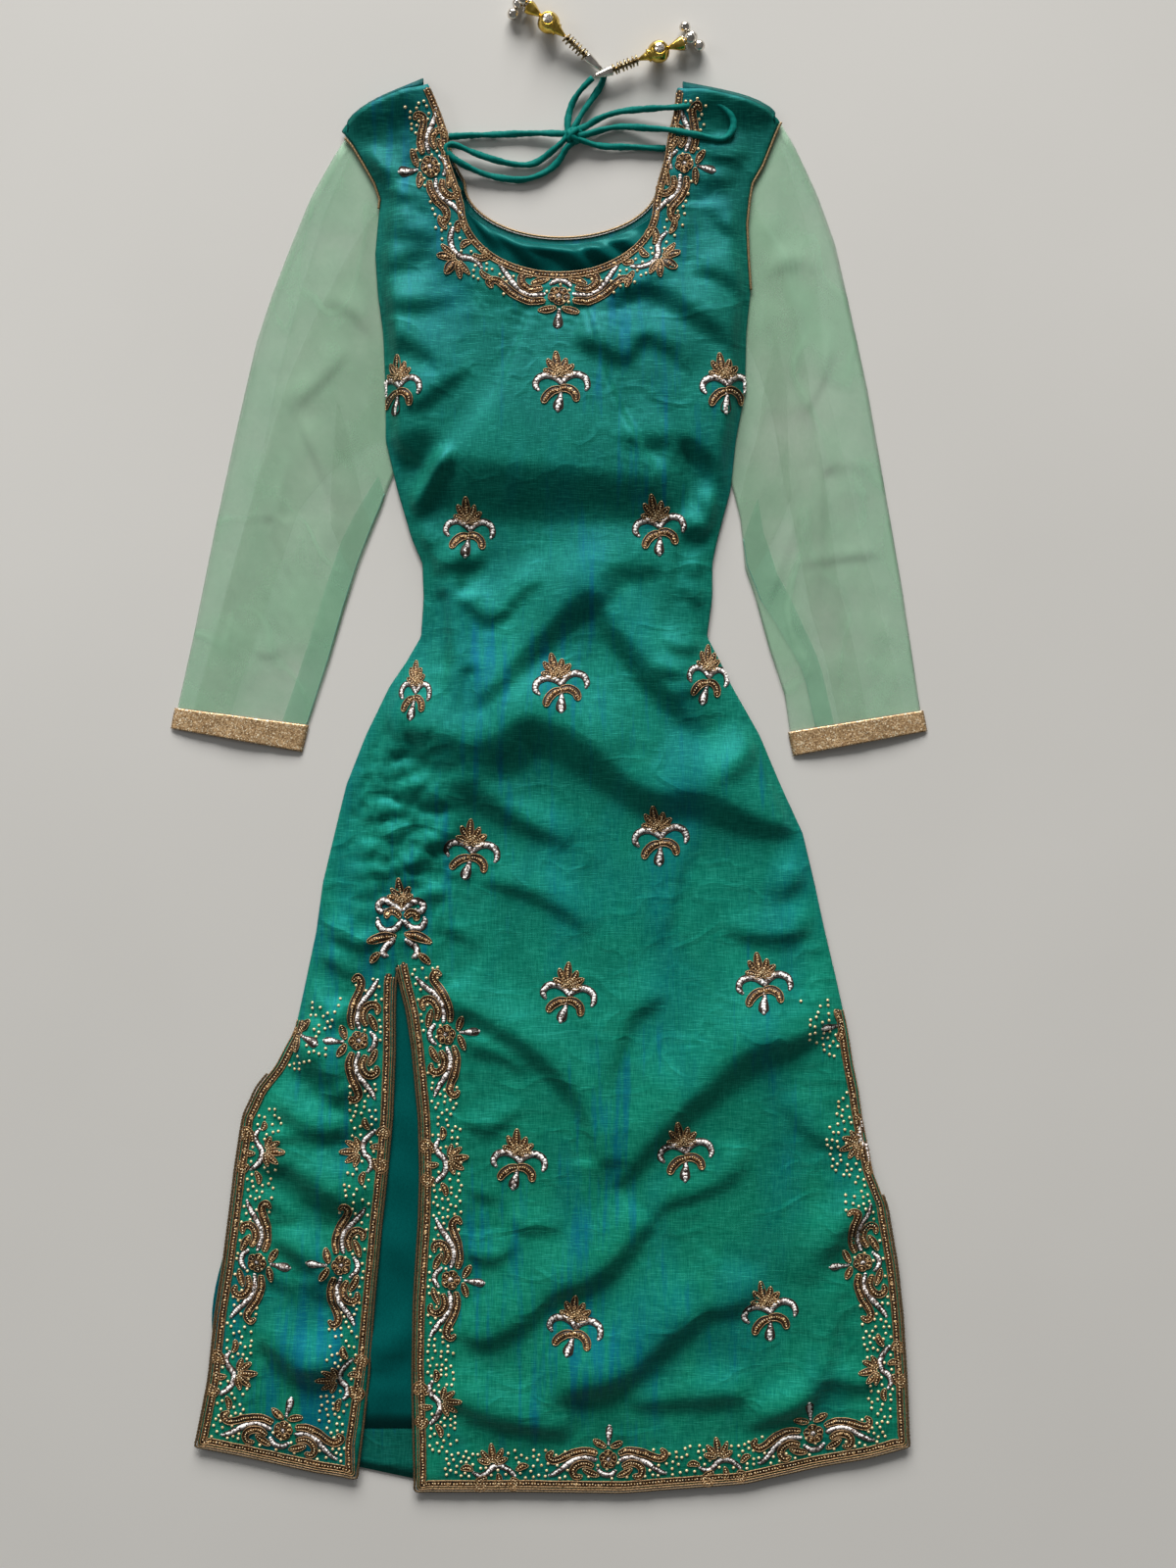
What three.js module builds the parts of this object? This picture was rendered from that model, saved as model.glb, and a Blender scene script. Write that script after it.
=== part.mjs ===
// A kurta laid flat, face up, with its sleeves straight at its sides.
// It is cut in shot silk: a front with a scooped neck and one leg slit, a back under it whose lining shows
// at the neck and in the slit, two sheer sleeves with ribbon cuffs, metal piping on the edges, and two tie
// cords at the back of the neck, knotted in a bow, that end in bead tassels.
//
// Millimetres, +Z up. The floor is z = 0, +Y points to the neck and +X to the right as seen from above.
// Lengths down the garment are measured from the highest point of the shoulders ("down"), as on a pattern.
import * as THREE from 'three';

// ---- Driving dimensions ----------------------------------------------------------------------------------
const GARMENT_LENGTH = 1080; // shoulder to hem
const SHOULDER_Y = GARMENT_LENGTH / 2; // the frame's origin is the middle of the laid garment
const CLOTH = 1.2; // wall of the silk panels
const SHEER = 1.0; // wall of the sleeves, lining and cuffs
const GAP = 0.3; // between pieces that touch
const PIPING_RADIUS = 1.0;
const CORD_RADIUS = 2.5;
const SHOULDER_ROLL = 6.4; // how far the back wraps over the shoulder to the front's seam
const SHOULDER_CURVE = 6.4; // how far the shoulder's line arches over a straight one
const PUFF = 2.6; // air under the front away from its edges

const BACK_Z = CLOTH / 2; // mid-surface heights of the stacked layers
const LINING_Z = CLOTH + GAP + SHEER / 2;
const FRONT_Z = CLOTH + SHEER + 2 * GAP + CLOTH / 2;

const SEWN_TO = { left: 753, right: 834 }; // the side seams end here, in slits
const SLIT_TOP = 676;
const NECK_CORNER = 100; // where the straps' edges turn into the curve under the neck
const FRONT_NECK = { middle: 7.5, halfWidth: 71.5, drop: 50 };
const BACK_CORNER = 80;
const BACK_NECK_CURVE = { middle: 9.5, halfWidth: 75.5, drop: 43 };
const LINING_HEM = 1031;
const HEM_LEVEL = 1044; // the hem at the two side slits

// ---- Tables of the outline --------------------------------------------------------------------------------
// The side edges of the front, from the tips of the shoulders to the hem.
const SIDES = [
  { down: 28, left: -161, right: 180 },
  { down: 42, left: -159, right: 173 },
  { down: 52, left: -150, right: 169 },
  { down: 67, left: -141, right: 163 },
  { down: 81, left: -133, right: 155 },
  { down: 93, left: -129, right: 153 },
  { down: 112, left: -131, right: 151 },
  { down: 135, left: -133, right: 152 },
  { down: 165, left: -131, right: 154 },
  { down: 195, left: -127, right: 151 },
  { down: 240, left: -125, right: 150 },
  { down: 277, left: -125, right: 143 },
  { down: 315, left: -116, right: 139 },
  { down: 352, left: -105, right: 129 },
  { down: 371, left: -97, right: 125 },
  { down: 397, left: -96, right: 125 },
  { down: 427, left: -98, right: 121 },
  { down: 446, left: -109, right: 131 },
  { down: 465, left: -122, right: 140 },
  { down: 502, left: -140, right: 161 },
  { down: 540, left: -155, right: 177 },
  { down: 577, left: -164, right: 194 },
  { down: 615, left: -173, right: 203 },
  { down: 652, left: -178, right: 211 },
  { down: 690, left: -186, right: 220 },
  { down: 727, left: -194, right: 228 },
  { down: 753, left: -208, right: 232 },
  { down: 772, left: -223, right: 236 },
  { down: 794, left: -233, right: 239 },
  { down: 834, left: -239, right: 247 },
  { down: 860, left: -242, right: 257 },
  { down: 907, left: -248, right: 265 },
  { down: 945, left: -254, right: 269 },
  { down: 992, left: -259, right: 272 },
  { down: HEM_LEVEL, left: -269, right: 274 },
];
// The fold over each shoulder, from its tip to the neck.
const SHOULDERS = {
  left: { tip: [-160, 35.5], neck: [-96, 0.5] },
  right: { tip: [180, 28], neck: [101, 3.1] },
};
// The front's neck edges on the straps, down to the curve.
const FRONT_STRAPS = [
  { down: 3, left: -95, right: 102 },
  { down: 12, left: -89, right: 97 },
  { down: 29, left: -82, right: 95 },
  { down: 44, left: -77, right: 91 },
  { down: 63, left: -76, right: 88 },
  { down: 75, left: -72, right: 85 },
  { down: 89, left: -67, right: 81 },
  { down: NECK_CORNER, left: -64, right: 79 },
];
const BACK_STRAPS = [
  { down: 3, left: -97, right: 104 },
  { down: 12, left: -91, right: 100 },
  { down: 29, left: -84, right: 97 },
  { down: 44, left: -79, right: 94 },
  { down: 63, left: -75, right: 90 },
  { down: BACK_CORNER, left: -66, right: 85 },
];
// The two edges of the slit in the front.
const SLIT = [
  { down: SLIT_TOP, left: -116, right: -116 },
  { down: 692, left: -118.5, right: -112.5 },
  { down: 714, left: -119, right: -107 },
  { down: 742, left: -119, right: -103 },
  { down: 794, left: -121, right: -98 },
  { down: 837, left: -125, right: -97 },
  { down: 873, left: -129, right: -98 },
  { down: 936, left: -135, right: -102 },
  { down: 981, left: -139, right: -103 },
  { down: HEM_LEVEL, left: -148, right: -101 },
];
// The front's hem, from the left side slit to the right one.
const HEM = [
  { x: -269, down: 1044 },
  { x: -233, down: 1051 },
  { x: -179, down: 1063 },
  { x: -148, down: 1068 },
  { x: -101, down: 1078 },
  { x: -15, down: 1078 },
  { x: 55, down: 1079 },
  { x: 94, down: 1076 },
  { x: 148, down: 1072 },
  { x: 206, down: 1059 },
  { x: 246, down: 1052 },
  { x: 274, down: 1044 },
];
// The large soft folds of the front: the crest runs from one end by way of a middle point to the other.
// The cloth falls gently above a crest and more steeply below it.
const FOLDS = [
  { name: 'left chest', from: [-128, 168], via: [-101, 163], to: [-71, 136], width: 13, height: 4 },
  { name: 'right chest, high', from: [37, 150], via: [90, 151], to: [142, 178], width: 13, height: 4 },
  { name: 'right chest, low', from: [22, 193], via: [60, 196], to: [105, 204], width: 15, height: 6 },
  { name: 'left dart', from: [-122, 292], via: [-92, 250], to: [-45, 286], width: 20, height: 9 },
  { name: 'under the bust', from: [-62, 284], via: [11, 302], to: [97, 284], width: 27, height: 13 },
  { name: 'right dart', from: [75, 283], via: [111, 248], to: [146, 300], width: 18, height: 9 },
  { name: 'left waist', from: [-76, 382], via: [-47, 399], to: [-15, 382], width: 14, height: 5 },
  { name: 'waist to the left', from: [67, 361], via: [19, 384], to: [-30, 427], width: 17, height: 9 },
  { name: 'waist to the right', from: [60, 390], via: [90, 423], to: [120, 476], width: 17, height: 8 },
  { name: 'left hip', from: [-118, 480], via: [-74, 512], to: [-12, 486], width: 19, height: 11 },
  { name: 'middle hip', from: [-26, 487], via: [34, 488], to: [86, 535], width: 19, height: 12 },
  { name: 'right hip', from: [70, 528], via: [131, 550], to: [192, 568], width: 18, height: 9 },
  { name: 'left thigh', from: [-53, 543], via: [-15, 562], to: [30, 573], width: 15, height: 5 },
  { name: 'thigh', from: [-45, 611], via: [0, 624], to: [54, 658], width: 17, height: 5 },
  { name: 'beside the slit', from: [-60, 678], via: [-8, 720], to: [30, 772], width: 17, height: 5 },
  { name: 'middle skirt', from: [39, 725], via: [64, 703], to: [105, 684], width: 17, height: 5 },
  { name: 'skirt to the right side', from: [62, 804], via: [124, 748], to: [226, 706], width: 21, height: 12 },
  { name: 'skirt, rising', from: [-56, 952], via: [24, 918], to: [64, 862], width: 20, height: 10 },
  { name: 'low skirt', from: [-12, 990], via: [75, 968], to: [182, 913], width: 21, height: 12 },
  { name: 'left of the hem', from: [-75, 993], via: [-30, 1008], to: [22, 1020], width: 14, height: 6 },
  { name: 'right of the hem', from: [142, 1012], via: [202, 992], to: [262, 986], width: 15, height: 7 },
  { name: 'right side slit', from: [201, 892], via: [217, 870], to: [243, 846], width: 14, height: 6 },
  { name: 'left flap, high', from: [-195, 723], via: [-161, 746], to: [-128, 742], width: 14, height: 6 },
  { name: 'left flap, middle', from: [-219, 819], via: [-173, 834], to: [-131, 849], width: 15, height: 7 },
  { name: 'left flap, low', from: [-203, 961], via: [-169, 967], to: [-142, 956], width: 14, height: 5 },
];
const LEE = 0.62; // the steep side's share of a fold's width

// The sleeves: the long outer edge and the inner seam, from the armhole to the cuff.
const SLEEVES = {
  left: {
    hand: -1, tip: 45, underarm: 300, cuffOuter: 481, cuffInner: 494,
    outer: [
      { down: 45, x: -161 }, { down: 60, x: -169 }, { down: 90, x: -184 }, { down: 127, x: -198 },
      { down: 165, x: -212 }, { down: 202, x: -224 }, { down: 277, x: -241 }, { down: 352, x: -257 },
      { down: 427, x: -272 }, { down: 481, x: -284 },
    ],
    inner: [
      { down: 300, x: -122 }, { down: 330, x: -130 }, { down: 371, x: -145 }, { down: 408, x: -157 },
      { down: 446, x: -168 }, { down: 494, x: -184 },
    ],
    cuff: { outerTop: [-286, 481.3], innerTop: [-184, 494.6], innerEnd: [-189, 515], outerEnd: [-289, 497] },
  },
  right: {
    hand: 1, tip: 33, underarm: 305, cuffOuter: 483, cuffInner: 499,
    outer: [
      { down: 33, x: 184 }, { down: 52, x: 193 }, { down: 90, x: 208 }, { down: 127, x: 220 },
      { down: 165, x: 228 }, { down: 240, x: 244 }, { down: 315, x: 257 }, { down: 390, x: 270 },
      { down: 483, x: 284 },
    ],
    inner: [
      { down: 305, x: 141 }, { down: 337, x: 147 }, { down: 375, x: 150 }, { down: 395, x: 157 },
      { down: 438, x: 169 }, { down: 471, x: 180 }, { down: 499, x: 184 },
    ],
    cuff: { outerTop: [286, 483.3], innerTop: [183, 499.8], innerEnd: [187, 518], outerEnd: [289, 499] },
  },
};

// ---- Small helpers ----------------------------------------------------------------------------------------
const lerp = THREE.MathUtils.lerp;
const clamp = THREE.MathUtils.clamp;
const smooth = (x, low, high) => THREE.MathUtils.smoothstep(x, low, high);
const at = (x, down, z) => new THREE.Vector3(x, SHOULDER_Y - down, z);

/** A column of a table read at a key, on straight lines between the rows and level past its ends. */
function read(table, column, value, key = 'down') {
  const next = table.findIndex((row) => row[key] >= value);
  if (next === 0) return table[0][column];
  if (next < 0) return table[table.length - 1][column];
  const a = table[next - 1];
  const b = table[next];
  return lerp(a[column], b[column], (value - a[key]) / (b[key] - a[key]));
}
const sideAt = (down) => ({ left: read(SIDES, 'left', down), right: read(SIDES, 'right', down) });
const hemAt = (x) => read(HEM, 'down', x, 'x');

/** How far down the fold over a shoulder is: a straight line that arches up near its tip. */
function shoulderAt(name, x) {
  const { tip, neck } = SHOULDERS[name];
  const t = clamp((x - tip[0]) / (neck[0] - tip[0]), 0, 1);
  return lerp(tip[1], neck[1], t) - SHOULDER_CURVE * Math.sin(Math.PI * t ** 0.55);
}

/** A closed wall of even thickness round a mid-surface of quads over numbered points. */
function wall(points, quads, thickness) {
  const normals = points.map(() => new THREE.Vector3());
  const across = new THREE.Vector3();
  const along = new THREE.Vector3();
  for (const [a, b, c, d] of quads) {
    across.subVectors(points[c], points[a]);
    along.subVectors(points[d], points[b]);
    across.cross(along);
    for (const corner of [a, b, c, d]) normals[corner].add(across);
  }
  const count = points.length;
  const position = new Float32Array(count * 6);
  points.forEach((point, i) => {
    const half = normals[i].normalize().multiplyScalar(thickness / 2);
    point.clone().add(half).toArray(position, i * 3);
    point.clone().sub(half).toArray(position, (count + i) * 3);
  });
  const index = [];
  const edges = new Set();
  for (const quad of quads) {
    const [a, b, c, d] = quad;
    index.push(a, b, c, a, c, d);
    index.push(count + a, count + c, count + b, count + a, count + d, count + c);
    quad.forEach((from, k) => edges.add(`${from},${quad[(k + 1) % 4]}`));
  }
  for (const edge of edges) {
    const [from, to] = edge.split(',').map(Number);
    if (edges.has(`${to},${from}`)) continue;
    index.push(to, from, count + from, to, count + from, count + to);
  }
  const geometry = new THREE.BufferGeometry();
  geometry.setAttribute('position', new THREE.BufferAttribute(position, 3));
  geometry.setIndex(index);
  return geometry;
}

/** A closed tube round a line of points, with its joints mitred. */
function tube(points, radius, sides) {
  const position = [];
  const index = [];
  let side = new THREE.Vector3(0, 0, 1);
  points.forEach((point, i) => {
    const before = points[Math.max(i - 1, 0)];
    const after = points[Math.min(i + 1, points.length - 1)];
    const tangent = after.clone().sub(before).normalize();
    side = side.addScaledVector(tangent, -side.dot(tangent)).normalize();
    const third = new THREE.Vector3().crossVectors(tangent, side);
    for (let k = 0; k < sides; k += 1) {
      const angle = (2 * Math.PI * (k + 0.5)) / sides;
      const rim = point.clone().addScaledVector(side, radius * Math.cos(angle));
      position.push(...rim.addScaledVector(third, radius * Math.sin(angle)).toArray());
    }
    side = side.clone();
  });
  const ring = (i, k) => i * sides + (k % sides);
  for (let i = 0; i + 1 < points.length; i += 1) {
    for (let k = 0; k < sides; k += 1) {
      index.push(ring(i, k), ring(i, k + 1), ring(i + 1, k + 1));
      index.push(ring(i, k), ring(i + 1, k + 1), ring(i + 1, k));
    }
  }
  const last = points.length - 1;
  for (let k = 1; k + 1 < sides; k += 1) {
    index.push(ring(0, 0), ring(0, k + 1), ring(0, k));
    index.push(ring(last, 0), ring(last, k), ring(last, k + 1));
  }
  const geometry = new THREE.BufferGeometry();
  geometry.setAttribute('position', new THREE.Float32BufferAttribute(position, 3));
  geometry.setIndex(index);
  return geometry;
}

/** Points spaced evenly along a smooth curve through the given ones. */
function curveThrough(points, steps) {
  return new THREE.CatmullRomCurve3(points, false, 'centripetal').getSpacedPoints(steps);
}

// ---- The folds ----------------------------------------------------------------------------------------------
const FOLD_STEPS = 10;

/** The crest of a fold as a row of points on the curve through its three. */
function crestOf({ from, via, to }) {
  const ends = [from, to].map(([x, down]) => new THREE.Vector2(x, down));
  const middle = new THREE.Vector2(...via);
  const control = middle.clone().multiplyScalar(2).addScaledVector(ends[0], -0.5).addScaledVector(ends[1], -0.5);
  return new THREE.QuadraticBezierCurve(ends[0], control, ends[1]).getPoints(FOLD_STEPS);
}
const CRESTS = FOLDS.map((fold) => ({ ...fold, crest: crestOf(fold) }));

/** How much of a fold's height is left at a place: 1 on its crest, 0 past its ends. */
function foldShare(fold, x, down) {
  let near = { far: Infinity };
  for (let k = 0; k < FOLD_STEPS; k += 1) {
    const a = fold.crest[k];
    const b = fold.crest[k + 1];
    const dx = b.x - a.x;
    const dy = b.y - a.y;
    const t = clamp(((x - a.x) * dx + (down - a.y) * dy) / (dx * dx + dy * dy), 0, 1);
    const far = Math.hypot(x - a.x - t * dx, down - a.y - t * dy);
    if (far < near.far) near = { far, s: (k + t) / FOLD_STEPS, below: down > a.y + t * dy };
  }
  const width = near.below ? fold.width * LEE : fold.width;
  const ends = smooth(near.s, 0, 0.3) * (1 - smooth(near.s, 0.7, 1));
  return ends * Math.exp(-((near.far / width) ** 2));
}

/** How far a place on the front is from its neck, hem and slit edges. */
function freeEdgeDistance(x, down) {
  const { middle, halfWidth, drop } = FRONT_NECK;
  const neck = down < NECK_CORNER
    ? Math.max(read(FRONT_STRAPS, 'left', down) - x, x - read(FRONT_STRAPS, 'right', down))
    : (Math.hypot((x - middle) / halfWidth, (down - NECK_CORNER) / drop) - 1) * drop;
  const slit = down < SLIT_TOP
    ? Math.hypot(x - SLIT[0].left, down - SLIT_TOP)
    : Math.max(read(SLIT, 'left', down) - x, x - read(SLIT, 'right', down));
  return Math.max(0, Math.min(neck, slit, hemAt(x) - down));
}

/** The height of the front's mid-surface. */
function frontHeight(x, down) {
  const { left, right } = sideAt(down);
  const side = Math.min(x - left, right - x);
  const edge = freeEdgeDistance(x, down);
  const folds = CRESTS.reduce((sum, fold) => sum + fold.height * foldShare(fold, x, down), 0);
  const held = smooth(side, 3, 24) * (0.3 + 0.7 * smooth(edge, 0, 35));
  const neckLift = 1.6 * (1 - smooth(edge, 0, 30)) * (1 - smooth(down, 170, 200));
  return FRONT_Z + neckLift + PUFF * smooth(side, 4, 30) * smooth(edge, 0, 25) + folds * held;
}

// ---- The body's panels: one grid of points that follows the neck, the slit and the hem -------------------------
const NARROW = [0, 0.9, 4.4]; // the first columns in from a side edge, that carry its rolled seam
const HALF_WALL = CLOTH / 2;

/** Where a column stands between a side edge and the guide line inside it. */
function strapColumn(edge, guide, j, columns) {
  const inward = Math.sign(guide - edge);
  if (j < NARROW.length) return edge + inward * (HALF_WALL + NARROW[j]);
  const start = edge + inward * (HALF_WALL + NARROW[NARROW.length - 1]);
  return lerp(start, guide, (j - NARROW.length + 1) / (columns - NARROW.length + 1));
}

/**
 * The numbered points and quads of a body panel.
 * spec: side columns and neck columns; rows on the straps, to the slit's top and to the hem;
 * straps, corner and curve of its neck; how far its top is below the fold over the shoulder; sides(down), hem(x) and place(x, down, column, columns); whether it has
 * the slit; and how much its rows crowd towards the neck.
 */
function panelGrid(spec) {
  const { sideColumns, neckColumns, strapRows, bodyRows, skirtRows, corner, curve, crowding = 1 } = spec;
  const neckEnd = sideColumns + neckColumns;
  const columns = neckEnd + sideColumns;
  const slitRow = strapRows + bodyRows;
  const rows = slitRow + skirtRows;
  const points = [];
  const numbers = new Map();
  const turn = (j) => lerp(-Math.PI / 2, Math.PI / 2, (j - sideColumns) / neckColumns);

  function strapPoint(i, j, onLeft) {
    const s = i / strapRows;
    const name = onLeft ? 'left' : 'right';
    const { tip, neck } = SHOULDERS[name];
    const edge = spec.sides(lerp(tip[1] + spec.shoulderDrop, corner, s))[name];
    const neckEdge = read(spec.straps, name, lerp(neck[1] + spec.shoulderDrop, corner, s));
    const x = strapColumn(edge, neckEdge, onLeft ? j : columns - j, sideColumns);
    return [x, lerp(shoulderAt(name, x) + spec.shoulderDrop, corner, s)];
  }

  function bodyPoint(i, j, rightOfSlit) {
    const level = i <= slitRow
      ? lerp(corner, SLIT_TOP, ((i - strapRows) / bodyRows) ** crowding)
      : lerp(SLIT_TOP, HEM_LEVEL, (i - slitRow) / skirtRows);
    const { left, right } = spec.sides(level);
    const width = right - left;
    const guideShare = (name) => {
      const edges = spec.sides(corner);
      return (read(spec.straps, name, corner) - edges.left) / (edges.right - edges.left);
    };
    const slitShare = (SLIT[0].left - spec.sides(SLIT_TOP).left) / (spec.sides(SLIT_TOP).right - spec.sides(SLIT_TOP).left);
    let guide = left + width * lerp(guideShare('left'), slitShare, smooth(level, corner, SLIT_TOP));
    if (i > slitRow) guide = read(SLIT, spec.slit && rightOfSlit ? 'right' : 'left', level);
    const farGuide = left + width * guideShare('right');
    const round = 1 - smooth(level, corner, 2.2 * corner);
    let x;
    if (j <= sideColumns) x = strapColumn(left, guide, j, sideColumns);
    if (j > sideColumns && j < neckEnd) {
      const even = (j - sideColumns) / neckColumns;
      x = lerp(guide, farGuide, lerp(even, (1 + Math.sin(turn(j))) / 2, round));
    }
    if (j >= neckEnd) x = strapColumn(right, farGuide, columns - j, sideColumns);
    if (rightOfSlit && j === sideColumns) x = guide;
    const dip = j > sideColumns && j < neckEnd ? curve.drop * Math.cos(turn(j)) * round : 0;
    const hem = (spec.hem(x) - HEM_LEVEL) * smooth(level, 0.88 * HEM_LEVEL, HEM_LEVEL);
    return [x, level + dip + hem];
  }

  function number(i, j, rightOfSlit) {
    const split = spec.slit && j === sideColumns && i > slitRow;
    const key = `${i},${j},${split && rightOfSlit}`;
    if (!numbers.has(key)) {
      const onStrap = i < strapRows || (i === strapRows && (j <= sideColumns || j >= neckEnd));
      const [x, down] = onStrap ? strapPoint(i, j, j <= sideColumns) : bodyPoint(i, j, rightOfSlit);
      numbers.set(key, points.length);
      points.push(spec.place(x, down, j, columns));
    }
    return numbers.get(key);
  }

  const quads = [];
  for (let i = 0; i < rows; i += 1) {
    for (let j = 0; j < columns; j += 1) {
      const inNeck = i < strapRows && j >= sideColumns && j < neckEnd;
      if (inNeck) continue;
      const right = j >= sideColumns;
      quads.push([number(i, j, right), number(i + 1, j, right), number(i + 1, j + 1, right), number(i, j + 1, right)]);
    }
  }
  const line = (cells) => cells.map(([i, j, right = false]) => points[number(i, j, right)]);
  return { points, quads, number, line, columns, rows, neckEnd, sideColumns, strapRows, slitRow };
}

const range = (from, to) => Array.from({ length: Math.abs(to - from) + 1 }, (_, k) => from + k * Math.sign(to - from));

// ---- Front ------------------------------------------------------------------------------------------------------
const SEAM_Z = [0.9, 2.9, 4.5]; // heights of the rolled seam's columns

/** The front's place in space: rolled down to the floor where a side is sewn to the back. */
function placeFront(x, down, j, columns) {
  const onLeft = j < columns / 2;
  const k = onLeft ? j : columns - j;
  const open = onLeft ? SEWN_TO.left : SEWN_TO.right;
  const free = smooth(down, open - 14, open + 6);
  const height = frontHeight(x, down);
  const z = k < SEAM_Z.length ? lerp(SEAM_Z[k], Math.min(height, FRONT_Z), free) : height;
  return at(x, down, z);
}

const FRONT = panelGrid({
  sideColumns: 6, neckColumns: 12, strapRows: 6, bodyRows: 38, skirtRows: 24,
  corner: NECK_CORNER, curve: FRONT_NECK, straps: FRONT_STRAPS, slit: true,
  shoulderDrop: SHOULDER_ROLL + 1.1,
  sides: sideAt, hem: hemAt, place: placeFront,
});

// ---- Back, which wraps over the shoulders, its lining and the facing of its hem --------------------------------
const BACK_INSET = 5;
const PEEK = { down: 930, spread: 55, out: 10 }; // the back shows past the front's left flap here

function backSides(down) {
  const { left, right } = sideAt(down);
  const peek = PEEK.out * Math.exp(-(((down - PEEK.down) / PEEK.spread) ** 2));
  return { left: left + BACK_INSET - peek, right: right - BACK_INSET };
}
const backHem = (x) => hemAt(x) - 7;

// The wrap over the shoulder, from the front's seam over the fold to the floor.
const WRAP = [
  { inward: SHOULDER_ROLL - 0.5, z: 4.9 },
  { inward: 3, z: 5.8 },
  { inward: 0.7, z: 5.0 },
  { inward: 0, z: 3.2 },
  { inward: 1.1, z: 1.5 },
  { inward: 4, z: BACK_Z },
];

function backWithWrap() {
  const start = WRAP[WRAP.length - 1].inward;
  const grid = panelGrid({
    sideColumns: 4, neckColumns: 8, strapRows: 3, bodyRows: 17, skirtRows: 9,
    corner: BACK_CORNER, curve: BACK_NECK_CURVE, straps: BACK_STRAPS, slit: false,
    shoulderDrop: start,
    sides: backSides, hem: backHem, place: (x, down) => at(x, down, BACK_Z),
  });
  const strapColumns = [range(0, grid.sideColumns), range(grid.neckEnd, grid.columns)];
  strapColumns.forEach((columnList) => {
    let below0 = columnList.map((j) => grid.number(0, j, false));
    for (const { inward, z } of WRAP.slice(0, -1).reverse()) {
      const row = below0.map((_, k) => {
        const base = grid.points[grid.number(0, columnList[k], false)];
        grid.points.push(new THREE.Vector3(base.x, base.y + start - inward, z));
        return grid.points.length - 1;
      });
      for (let k = 0; k + 1 < row.length; k += 1) grid.quads.push([row[k], below0[k], below0[k + 1], row[k + 1]]);
      below0 = row;
    }
  });
  return grid;
}
const BACK = backWithWrap();

const LINING_INSET = 12;
const RIPPLE = { height: 1.5, wave: 22, from: 88, to: 150 }; // the lining's folds below the back's neck

function placeLining(x, down) {
  const shown = smooth(down, RIPPLE.from, RIPPLE.from + 15) * (1 - smooth(down, RIPPLE.to - 10, RIPPLE.to));
  const wave = 0.5 + 0.5 * Math.sin(((x + 0.8 * down) * 2 * Math.PI) / (2 * RIPPLE.wave));
  return at(x, down, LINING_Z + RIPPLE.height * shown * wave);
}
const LINING_NECK_DROP = 4;
const LINING = panelGrid({
  sideColumns: 3, neckColumns: 8, strapRows: 2, bodyRows: 13, skirtRows: 7, crowding: 1.5,
  corner: BACK_CORNER + LINING_NECK_DROP, curve: BACK_NECK_CURVE, slit: false,
  straps: BACK_STRAPS.map(({ down, left, right }) => ({
    down: down === BACK_CORNER ? down + LINING_NECK_DROP : down, left: left - LINING_NECK_DROP, right: right + LINING_NECK_DROP,
  })),
  shoulderDrop: 16,
  sides: (down) => ({ left: sideAt(down).left + LINING_INSET, right: sideAt(down).right - LINING_INSET }),
  hem: () => LINING_HEM,
  place: placeLining,
});

function hemFacing() {
  const columns = 12;
  const points = [];
  const quads = [];
  for (let j = 0; j <= columns; j += 1) {
    const { left, right } = backSides(HEM_LEVEL);
    const x = lerp(left + LINING_INSET, right - LINING_INSET, j / columns);
    points.push(at(x, LINING_HEM + SHEER, LINING_Z), at(x, backHem(x) - 1, LINING_Z));
    const base = 2 * (j - 1);
    if (j > 0) quads.push([base, base + 1, base + 3, base + 2]);
  }
  return wall(points, quads, SHEER);
}

// ---- Sleeves and cuffs: flattened tubes ----------------------------------------------------------------------------
const SLEEVE_ROWS = 15;
const SLEEVE_STEPS = 7;
const EDGE_RISE = 1.5; // height of a flat tube's folded edge
const SLEEVE_AIR = 2.6;
const UNDER_Z = SHEER / 2;
const UNDER_INSET = 0.045; // the under layer's edge, as a share of the width
const SEAM_GAP = { piped: 3.2, plain: 1.2 }; // between the body's side and the sleeve's head
const PIPED_TO = { left: 100, right: 162 };

/** The sleeve's flat place: s runs from the armhole to the cuff, t from the outer edge to the inner seam. */
function sleevePlace(sleeve, s, t) {
  const name = sleeve.hand < 0 ? 'left' : 'right';
  const armhole = (share) => {
    const down = lerp(sleeve.tip, sleeve.underarm, share);
    const gap = lerp(SEAM_GAP.piped, SEAM_GAP.plain, smooth(down, PIPED_TO[name], PIPED_TO[name] + 20));
    return new THREE.Vector2(sideAt(down)[name] + sleeve.hand * gap, down);
  };
  const edge = (table, from, to) => {
    const down = lerp(from, to, s);
    return new THREE.Vector2(read(table, 'x', down), down);
  };
  const outer = edge(sleeve.outer, sleeve.tip, sleeve.cuffOuter);
  const inner = edge(sleeve.inner, sleeve.underarm, sleeve.cuffInner);
  const cuffStart = new THREE.Vector2(read(sleeve.outer, 'x', sleeve.cuffOuter), sleeve.cuffOuter);
  const cuffEnd = new THREE.Vector2(read(sleeve.inner, 'x', sleeve.cuffInner), sleeve.cuffInner);
  const cuff = cuffStart.clone().lerp(cuffEnd, t);
  const head = armhole(t);
  const corners = armhole(0).lerp(armhole(1), t).lerp(cuffStart.lerp(cuffEnd, t), s);
  return head.lerp(cuff, s).add(outer.lerp(inner, t)).sub(corners);
}

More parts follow.
